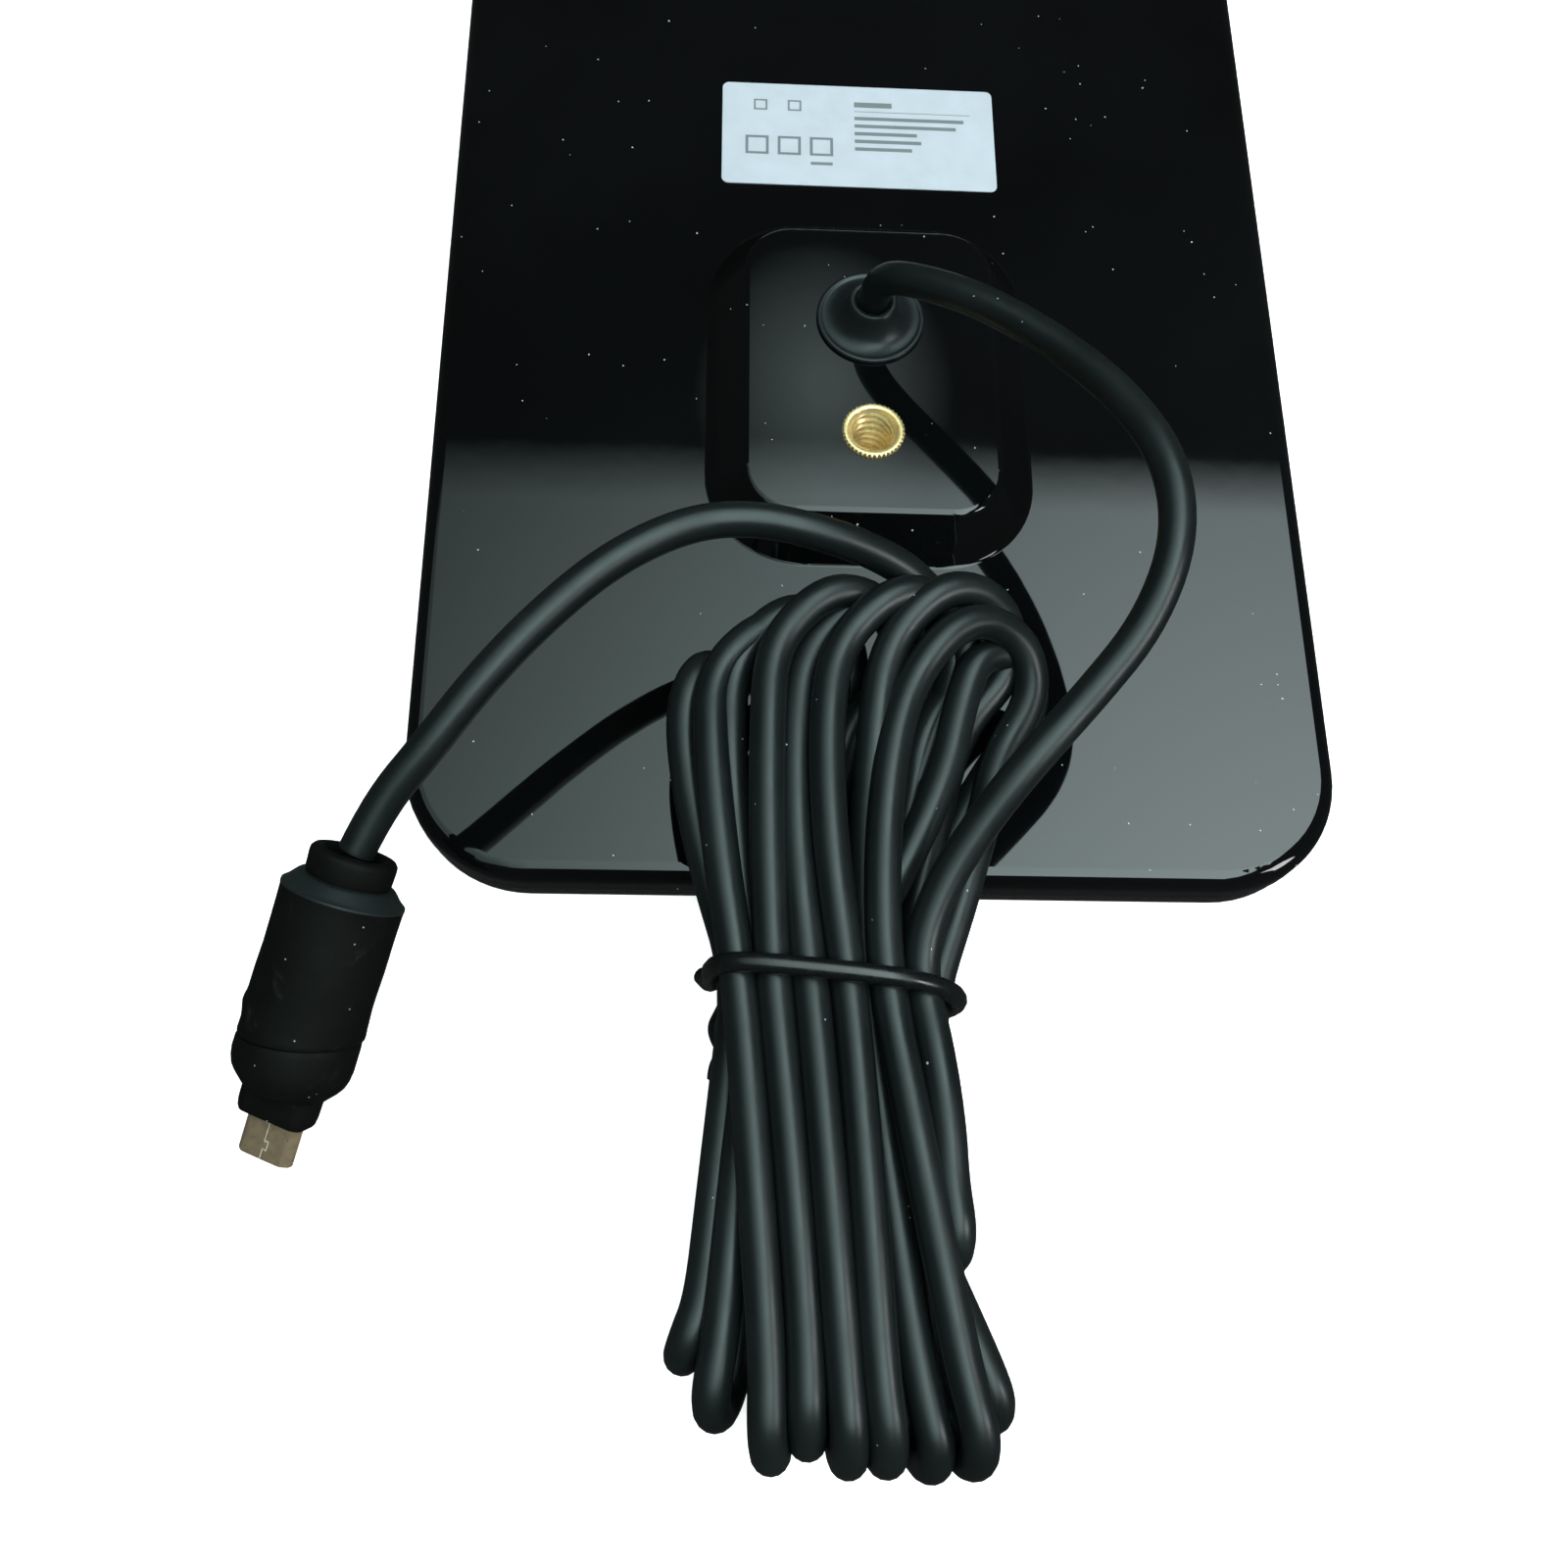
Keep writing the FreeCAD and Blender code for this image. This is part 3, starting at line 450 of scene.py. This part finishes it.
# ---- CAD nodes that keep their shape -----------------------------------------------------------
for name, node in NODES.items():
    shade(node, 30.0)
weighted = NODES["rear_housing"].modifiers.new("flat faces stay flat", "WEIGHTED_NORMAL")
weighted.keep_sharp = True
paint("rear_housing", GLOSS)
paint("front_frame", MATT)
paint("seal_bead", plain_plastic("sealant", (0.012, 0.012, 0.012), 0.6))
paint("rating_label", plain_plastic("label", (0.53, 0.56, 0.62), 0.42, Specular_IOR_Level=0.3))
for name in ("backing_board", "junction_board"):
    paint(name, plain_plastic("board_" + name, (0.03, 0.16, 0.08), 0.45))
for name in ("cover_sheet", "front_film", "rear_film"):
    paint(name, plain_plastic("clear_" + name, (0.80, 0.84, 0.86), 0.12, Transmission_Weight=0.92))
for number in range(1, 13):
    paint("solar_cell_%d" % number, plain_plastic("cell_%d" % number, (0.010, 0.014, 0.045), 0.2))
paint("cell_ribbons", TIN)
paint("panel_terminals", TIN)
paint("board_screws", TIN)
paint("cord_inner_end", CORD)
paint("anchor_tie", plain_plastic("nylon", (0.70, 0.70, 0.66), 0.5))
paint("blocking_diode", plain_plastic("epoxy", (0.02, 0.02, 0.02), 0.5))
paint("filter_capacitor", plain_plastic("ceramic", (0.50, 0.36, 0.22), 0.5))
paint("usb_insulator", plain_plastic("insulator", (0.012, 0.012, 0.012), 0.5))
paint("usb_contacts", GOLD)
for name in ("panel_wire_positive", "cord_core_positive"):
    paint(name, plain_plastic("red_" + name, (0.45, 0.015, 0.012), 0.4))
for name in ("panel_wire_negative", "cord_core_negative"):
    paint(name, plain_plastic("dark_" + name, (0.012, 0.012, 0.012), 0.4))


# ---- grommet -----------------------------------------------------------------------------------
def make_grommet():
    face = BOSS_FACE_Z / MM
    low = grommet_low.z / MM
    profile = [(2.05, low), (5.3, low), (5.6, low + 0.3), (5.6, low + 1.2), (4.35, low + 1.2), (4.35, face)]
    profile += [(6.9, face), (7.25, face + 0.12), (7.3, face + 0.35)]
    profile += [(7.15, face + 0.55), (6.9, face + 0.62)]
    profile += [(6.7, face + 0.56), (6.55, face + 0.46)]
    steps = 14
    for i in range(1, steps + 1):
        share = i / steps
        radius = 6.55 - 3.45 * share
        height = face + 0.46 + 3.45 * share ** 2.7
        profile.append((radius, height))
    profile += [(2.9, face + 4.0), (2.6, face + 4.0), (2.3, face + 3.8), (2.05, face + 3.4)]
    grommet = lathe("cable_grommet_body", profile, upright(GROMMET_AXIS), 96, 50.0)
    paint(grommet, GROMMET)
    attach(grommet, "root")
    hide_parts("cable_grommet")


make_grommet()


# ---- threaded insert -----------------------------------------------------------------------------
THREAD_PITCH = 1.27
THREAD_MAJOR = 3.12
THREAD_MINOR = 2.60


def make_insert():
    """Knurled brass insert: one skin, outside up, over the mouth and down the helical thread."""
    top = insert_high.z / MM
    bottom = insert_low.z / MM
    teeth = 40
    segments = teeth * 6
    bm = bmesh.new()

    def ring(radius_of, z_of):
        made = []
        for i in range(segments):
            turn = 2 * math.pi * i / segments
            radius = radius_of(turn)
            place = Vector((radius * math.cos(turn), radius * math.sin(turn), z_of(turn)))
            made.append(bm.verts.new(place * MM))
        return made

    def knurl(deep):
        return lambda turn: 4.15 - deep * max(0.0, math.cos(teeth * turn)) ** 0.7

    rings = [ring(lambda turn: 3.9, lambda turn: bottom)]
    rings.append(ring(knurl(0.28), lambda turn: bottom + 0.25))
    rings.append(ring(knurl(0.28), lambda turn: top - 0.22))
    rings.append(ring(lambda turn: 3.90, lambda turn: top - 0.02))
    rings.append(ring(lambda turn: 3.72, lambda turn: top))
    rings.append(ring(lambda turn: 3.34, lambda turn: top))
    rings.append(ring(lambda turn: 3.22, lambda turn: top - 0.10))
    steps_per_pitch = 12
    depth = 7.2
    total = int(depth / THREAD_PITCH * steps_per_pitch)
    for step in range(total + 1):
        down = 0.45 + depth * step / total

        def thread(turn, down=down):
            phase = (down / THREAD_PITCH + turn / (2 * math.pi)) % 1.0
            ridge = abs(phase - 0.5) * 2.0
            share = min(1.0, max(0.0, (ridge - 0.12) / 0.72))
            run_in = min(1.0, down / 1.1)
            return THREAD_MAJOR - (THREAD_MAJOR - THREAD_MINOR) * share * run_in

        rings.append(ring(thread, lambda turn, down=down: top - down))
    for low, high in zip(rings, rings[1:]):
        for i in range(segments):
            j = (i + 1) % segments
            bm.faces.new((low[i], low[j], high[j], high[i]))
    bm.faces.new(rings[-1])
    bm.faces.new(rings[0][::-1])
    bm.transform(upright(INSERT_AXIS))
    insert = piece_from_bmesh("threaded_insert", bm, 50.0)
    paint(insert, BRASS)
    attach(insert, "root")
    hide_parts("brass_insert")


make_insert()


# ---- label print: plain bars and marks, no lettering ----------------------------------------------
def make_label_print():
    bm = bmesh.new()
    left = label_low.x / MM
    top = label_high.y / MM
    z = label_high.z / MM

    def bar(x, y, width, height, thick=0.02):
        corners = [(x, y), (x + width, y), (x + width, y + height), (x, y + height)]
        lower = [bm.verts.new(Vector((cx, cy, z - 0.01)) * MM) for cx, cy in corners]
        upper = [bm.verts.new(Vector((cx, cy, z + thick)) * MM) for cx, cy in corners]
        bm.faces.new(upper)
        bm.faces.new(lower[::-1])
        for i in range(4):
            j = (i + 1) % 4
            bm.faces.new((lower[i], lower[j], upper[j], upper[i]))

    def frame_mark(x, y, size, line):
        bar(x, y, size, line)
        bar(x, y + size - line, size, line)
        bar(x, y + line, line, size - 2 * line)
        bar(x + size - line, y + line, line, size - 2 * line)

    bar(left + 19.4, top - 3.9, 5.6, 0.95)
    bar(left + 19.4, top - 4.75, 17.2, 0.10)
    for row, width in enumerate((16.2, 15.0, 9.2, 9.8, 8.4)):
        bar(left + 19.4, top - 6.3 - row * 1.42, width, 0.62)
    frame_mark(left + 4.6, top - 5.0, 2.0, 0.28)
    frame_mark(left + 9.6, top - 5.0, 2.0, 0.28)
    for column in range(3):
        frame_mark(left + 3.4 + column * 4.7, top - 13.2, 3.4, 0.42)
    bar(left + 12.9, top - 14.9, 3.2, 0.55)
    printed = piece_from_bmesh("label_print", bm, 30.0)
    paint(printed, plain_plastic("label_ink", (0.17, 0.20, 0.21), 0.5))
    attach(printed, "root")


make_label_print()


# ---- plug -------------------------------------------------------------------------------------------
def plug_matrix():
    axis = (PLUG_REAR - PLUG_TIP).normalized()
    tilt = Vector((0, 0, 1)).rotation_difference(axis)
    roll = Quaternion((0, 0, 1), PLUG_ROLL)
    tip = PLUG_REAR - axis * PLUG_LENGTH
    return Matrix.Translation(tip) @ tilt.to_matrix().to_4x4() @ roll.to_matrix().to_4x4()


ON_PLUG = plug_matrix()
SHELL_OUT = 5.0
NOSE_TOP = SHELL_OUT + 3.7
STAGE_TOP = NOSE_TOP + 6.5
SLEEVE_TOP = STAGE_TOP + 18.8
REAR_TOP = SLEEVE_TOP + 3.2
SLEEVE_SEGMENTS = 160
LEFT_TURN = math.atan2(*(ON_PLUG.to_3x3().inverted() @ Vector((-0.93, 0.30, 0.20))).yx)


def seam_slant(z, turn):
    """The joint between sleeve and front stage is not quite square to the plug."""
    reach = 7.0 if z > STAGE_TOP else 3.0
    share = max(0.0, 1.0 - abs(z - STAGE_TOP) / reach)
    return -1.2 * share * math.cos(turn - LEFT_TURN)


def rounded_ring(bm, width, height, radius, z, steps=8):
    ring = []
    for corner in range(4):
        sx = 1 if corner in (0, 3) else -1
        sy = 1 if corner in (0, 1) else -1
        for i in range(steps + 1):
            turn = math.radians(90 * corner + 90 * i / steps)
            x = sx * (width / 2 - radius) + radius * math.cos(turn)
            y = sy * (height / 2 - radius) + radius * math.sin(turn)
            ring.append(bm.verts.new(Vector((x, y, z)) * MM))
    return ring


def bridge(bm, rings, closed_ends=True):
    for low, high in zip(rings, rings[1:]):
        count = len(low)
        for i in range(count):
            j = (i + 1) % count
            bm.faces.new((low[i], low[j], high[j], high[i]))
    if closed_ends:
        bm.faces.new(rings[0][::-1])
        bm.faces.new(rings[-1])


def make_plug_nose():
    bm = bmesh.new()
    rings = [rounded_ring(bm, 7.6, 3.9, 1.0, SHELL_OUT)]
    rings.append(rounded_ring(bm, 8.2, 4.6, 1.3, SHELL_OUT + 0.12))
    rings.append(rounded_ring(bm, 8.6, 5.0, 1.5, SHELL_OUT + 0.5))
    rings.append(rounded_ring(bm, 8.8, 5.2, 1.5, SHELL_OUT + 1.4))
    rings.append(rounded_ring(bm, 8.9, 5.3, 1.6, NOSE_TOP - 0.5))
    rings.append(rounded_ring(bm, 9.4, 5.8, 1.8, NOSE_TOP + 0.25))
    bridge(bm, rings)
    bm.transform(ON_PLUG)
    nose = piece_from_bmesh("plug_nose", bm, 40.0)
    paint(nose, PLUG)
    return nose


def make_plug_stage():
    """Front stage with a soft bevel, the core under the sleeve and the collar round the cord."""
    profile = [(0.01, NOSE_TOP), (4.2, NOSE_TOP), (4.75, NOSE_TOP + 0.05), (5.1, NOSE_TOP + 0.25)]
    profile += [(6.1, NOSE_TOP + 1.4), (6.5, NOSE_TOP + 2.0), (6.75, NOSE_TOP + 2.8), (6.88, NOSE_TOP + 3.8)]
    profile += [(6.86, STAGE_TOP - 0.7), (6.78, STAGE_TOP - 0.25), (6.6, STAGE_TOP), (4.6, STAGE_TOP)]
    profile += [(4.6, SLEEVE_TOP - 0.1), (4.7, SLEEVE_TOP + 0.15)]
    profile += [(4.85, SLEEVE_TOP + 0.6), (4.92, REAR_TOP - 0.9)]
    profile += [(4.86, REAR_TOP - 0.45), (4.6, REAR_TOP - 0.12)]
    profile += [(4.1, REAR_TOP), (3.6, REAR_TOP - 0.03), (3.25, REAR_TOP - 0.3), (3.0, REAR_TOP - 1.1)]
    profile += [(2.7, REAR_TOP - 1.9), (2.05, REAR_TOP - 2.1), (0.01, REAR_TOP - 2.1)]
    body = lathe("plug_inner_moulding", profile, ON_PLUG, 96, 40.0, None, seam_slant)
    paint(body, PLUG)
    return body


def make_plug_sleeve():
    """Stretched rubber barrel, slightly lumpy, with a nub where its mould was filled."""
    low = STAGE_TOP + 0.06

    def uneven(radius, z, turn):
        if radius < 6.0:
            return radius
        lump = 0.05 * math.sin(3 * turn + z * 0.45) + 0.035 * math.sin(5 * turn - z * 0.8)
        aside = (turn - LEFT_TURN + math.pi) % (2 * math.pi) - math.pi
        nub = 0.38 * math.exp(-(aside / 0.26) ** 2 - ((z - low - 3.0) / 1.0) ** 2)
        return radius + lump + nub

    profile = [(4.65, low), (6.55, low), (6.82, low + 0.12), (6.92, low + 0.4), (6.9, low + 0.9)]
    steps = (1.5, 2.0, 2.5, 3.0, 3.5, 4.0, 4.6, 5.6, 7.0, 9.5, 12.0, 14.5)
    profile += [(6.86, low + step) for step in steps]
    profile += [(6.9, SLEEVE_TOP - 2.2), (6.98, SLEEVE_TOP - 1.85), (6.96, SLEEVE_TOP - 1.6)]
    profile += [(6.72, SLEEVE_TOP - 1.42), (6.45, SLEEVE_TOP - 1.2), (5.62, SLEEVE_TOP - 0.25)]
    profile += [(5.4, SLEEVE_TOP - 0.08), (5.1, SLEEVE_TOP), (4.65, SLEEVE_TOP)]
    sleeve = lathe("plug_rubber_sleeve", profile, ON_PLUG, SLEEVE_SEGMENTS, 40.0, uneven, seam_slant)
    paint(sleeve, PLUG)
    # The shoulder bevel's faces get the glossier rubber; its lighter colour is a painted highlight on the
    # shoulder.
    sleeve.data.materials.append(PLUG_BEVEL_PAINTED_HIGHLIGHT)
    bevel = [i for i, (_, z) in enumerate(profile[:-1]) if z > SLEEVE_TOP - 2.0]
    for polygon in sleeve.data.polygons:
        if polygon.index // SLEEVE_SEGMENTS in bevel:
            polygon.material_index = 1
    return sleeve


def make_usb_shell():
    """Folded steel sleeve with rounded edges."""
    outline = [(-3.42, 0.9), (3.42, 0.9), (3.42, 0.0), (2.61, -0.9), (-2.61, -0.9), (-3.42, 0.0)]
    bm = bmesh.new()
    wall = 0.25

    def ring(inset, z):
        """The connector's six-sided section with rounded corners."""
        made = []
        count = len(outline)
        for i in range(count):
            before = Vector(outline[i - 1])
            corner = Vector(outline[i])
            after = Vector(outline[(i + 1) % count])
            cut = 0.28
            first = corner + (before - corner).normalized() * cut
            last = corner + (after - corner).normalized() * cut
            for step in range(5):
                share = step / 4
                point = first.lerp(corner, share).lerp(corner.lerp(last, share), share)
                scale_x = (3.42 - inset) / 3.42
                scale_y = (0.9 - inset) / 0.9
                made.append(bm.verts.new(Vector((point.x * scale_x, point.y * scale_y, z)) * MM))
        return made

    rings = [ring(wall, SHELL_OUT + 4.0), ring(wall, 0.12), ring(wall * 0.8, 0.03), ring(wall * 0.45, 0.0)]
    rings += [ring(0.05, 0.05), ring(0.0, 0.16), ring(0.0, SHELL_OUT + 4.0)]
    bridge(bm, rings, False)
    outer = rings[-1]
    inner = rings[0]
    for i in range(len(outer)):
        j = (i + 1) % len(outer)
        bm.faces.new((outer[i], outer[j], inner[j], inner[i]))
    bm.transform(ON_PLUG)
    shell = piece_from_bmesh("usb_shell_folded", bm, 40.0)
    paint(shell, STEEL)
    return shell


def make_seam():
    """Dovetail seam on the shell's narrower flat, as thin inlaid strips; their light colour is a painted
    glint along the seam.
    """
    line = [(0.0, 0.1), (0.0, 1.35), (0.5, 1.25), (0.5, 2.35), (0.0, 2.25), (0.0, SHELL_OUT)]
    bm = bmesh.new()
    half = 0.045
    for (x0, z0), (x1, z1) in zip(line, line[1:]):
        heading = Vector((x1 - x0, z1 - z0)).normalized()
        side = Vector((-heading.y, heading.x)) * half
        reach = heading * half
        corners = []
        for x, z, sign in ((x0 - reach.x, z0 - reach.y, 1), (x1 + reach.x, z1 + reach.y, 1),
                           (x1 + reach.x, z1 + reach.y, -1), (x0 - reach.x, z0 - reach.y, -1)):
            corners.append((x + sign * side.x, max(0.1, z + sign * side.y)))
        low = [bm.verts.new(Vector((x, -0.85, z)) * MM) for x, z in corners]
        high = [bm.verts.new(Vector((x, -0.908, z)) * MM) for x, z in corners]
        bm.faces.new(high)
        bm.faces.new(low[::-1])
        for i in range(4):
            j = (i + 1) % 4
            bm.faces.new((low[i], low[j], high[j], high[i]))
    bm.transform(ON_PLUG)
    seam = piece_from_bmesh("usb_shell_seam", bm, 30.0)
    # The strips' light colour is a painted glint on the seam.
    paint(seam, plain_plastic("seam_painted_glint", (0.60, 0.55, 0.42), 0.35))
    return seam


plug_nose = make_plug_nose()
plug_body = make_plug_stage()
plug_sleeve = make_plug_sleeve()
usb_shell = make_usb_shell()
usb_seam = make_seam()
for piece in (plug_nose, plug_body, plug_sleeve, usb_shell, usb_seam):
    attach(piece, "root")
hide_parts("plug_inner_body")
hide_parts("plug_sleeve")
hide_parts("usb_shell")

# ---- twist tie ---------------------------------------------------------------------------------------
TIE_RADIUS = 1.15
TIE_RING = [
    (-20.0, 12.0), (-20.4, 16.4), (-19.2, 20.4), (-16.2, 22.2), (-9.4, 22.4), (-2.6, 22.3), (2.6, 21.2),
    (6.4, 18.4), (8.2, 13.6), (7.2, 8.6), (2.4, 5.2), (-5.4, 3.4), (-12.4, 3.6), (-18.0, 6.4),
]


def tie_point(x, z, forward):
    return Vector((x, TIE_Y + TIE_SLOPE * (x - TIE_MIDDLE_X) + forward, z)) * MM


def make_tie():
    ring = [tie_point(x, z, -0.25 * (i / len(TIE_RING))) for i, (x, z) in enumerate(TIE_RING)]
    start = [Vector((-21.2, -107.9, 8.4)) * MM, Vector((-20.4, -109.2, 9.8)) * MM]
    end = []
    for i in range(8):
        turn = i * math.pi / 2.2
        y = -111.0 - 1.2 * i
        end.append(Vector((-18.9 + 0.6 * math.cos(turn), y, 5.4 + 0.6 * math.sin(turn))) * MM)
    tie = spline_curve("twist_tie_wire", start + ring + end, TIE_RADIUS * MM, 8, 4)
    paint(tie, TIE)
    return tie


tie = make_tie()
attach(tie, "root")
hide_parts("twist_tie")

paint(cord, CORD)
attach(cord, "root")
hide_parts("cord_lead", "cord_hank", "cord_tail")


# ---- stage: floor, soft light and what the glossy face mirrors -----------------------------------------
def make_floor():
    bpy.ops.mesh.primitive_plane_add(size=6.0, location=(0, 0, -0.0002))
    floor = bpy.context.object
    floor.name = "floor"
    look = Look("floor", (0.9, 0.9, 0.9), 0.8, Specular_IOR_Level=0.1, Emission_Strength=0.75)
    look.shader.inputs["Emission Color"].default_value = (1.0, 1.0, 1.0, 1.0)
    look.color(look.blend(look.noise(40, 3.0), (0.93, 0.89, 0.89), (0.95, 0.91, 0.91)))
    floor.data.materials.append(look.material)
    floor.visible_glossy = False


FAR_FADE_END = -0.46


def make_card(name, centre, size, glow_span, far_span, soft_edge):
    """A glowing card overhead, mirrored in the glossy face; it glows more to the right and nearer."""
    bpy.ops.mesh.primitive_plane_add(size=1.0, location=centre)
    card = bpy.context.object
    card.name = name
    card.scale = (size[0], size[1], 1.0)
    card.rotation_euler = (math.pi, 0, 0)
    look = Look(name, (0.0, 0.0, 0.0), 1.0, Specular_IOR_Level=0.0)
    split = look.node("ShaderNodeSeparateXYZ")
    look.link(look.where, split.inputs[0])
    across = look.span(split.outputs["X"], -0.32, 0.46, 0.0, 1.0)
    squared = look.math("MULTIPLY", across, across)
    eased = look.math("MULTIPLY", squared, look.math("SUBTRACT", 3.0, look.math("MULTIPLY", across, 2.0)))
    nearer = look.span(split.outputs["Y"], *far_span, 1.0)
    glow = look.math("MULTIPLY", look.span(eased, 0.0, 1.0, *glow_span), nearer)
    glow = look.math("MULTIPLY", glow, look.span(split.outputs["Y"], -0.5, FAR_FADE_END, 0.0, 1.0))
    if soft_edge:
        middle = look.node("ShaderNodeVectorMath", operation="LENGTH")
        look.link(look.where, middle.inputs[0])
        glow = look.math("MULTIPLY", glow, look.span(middle.outputs["Value"], 0.05, 0.5, 1.0, 0.0))
    emission = look.node("ShaderNodeEmission")
    look.link(look.blend(eased, (0.74, 1.0, 0.955), (0.84, 1.0, 1.01)), emission.inputs["Color"])
    look.link(glow, emission.inputs["Strength"])
    both = look.node("ShaderNodeAddShader")
    look.link(emission.outputs[0], both.inputs[0])
    look.link(look.node("ShaderNodeBsdfTransparent").outputs[0], both.inputs[1])
    look.link(both.outputs[0], look.tree.nodes["Material Output"].inputs["Surface"])
    card.data.materials.append(look.material)
    card.visible_camera = False
    card.visible_shadow = False


def make_area(name, location, aim, size, power, glossy):
    data = bpy.data.lights.new(name, "AREA")
    data.shape = "RECTANGLE"
    data.size = size[0]
    data.size_y = size[1]
    data.energy = power
    light = bpy.data.objects.new(name, data)
    light.location = location
    heading = Vector(aim) - Vector(location)
    light.rotation_euler = heading.to_track_quat("-Z", "Y").to_euler()
    light.visible_glossy = glossy
    light.visible_camera = False
    bpy.context.scene.collection.objects.link(light)


def make_world():
    world = bpy.data.worlds.new("studio")
    world.use_nodes = True
    world.node_tree.nodes["Background"].inputs["Color"].default_value = (0.95, 0.98, 1.0, 1.0)
    world.node_tree.nodes["Background"].inputs["Strength"].default_value = 0.04
    bpy.context.scene.world = world


make_floor()
make_card("ceiling_card", (-0.07, -0.110, 0.8), (1.06, 1.22), (0.95, 6.2), (-0.5, -0.15, 0.5), False)
make_card("far_glow", (0.065, 0.55, 0.803), (0.20, 0.28), (1.3, 1.3), (-0.5, 0.5, 1.0), True)
make_area("fill", (0.0, -0.1, 1.3), (0, -0.02, 0), (1.6, 1.6), 4.0, False)
make_area("window", (0.75, -0.45, 0.55), (0, -0.05, 0), (0.22, 0.35), 3.0, True)
make_world()
bpy.context.scene.view_settings.view_transform = "Standard"
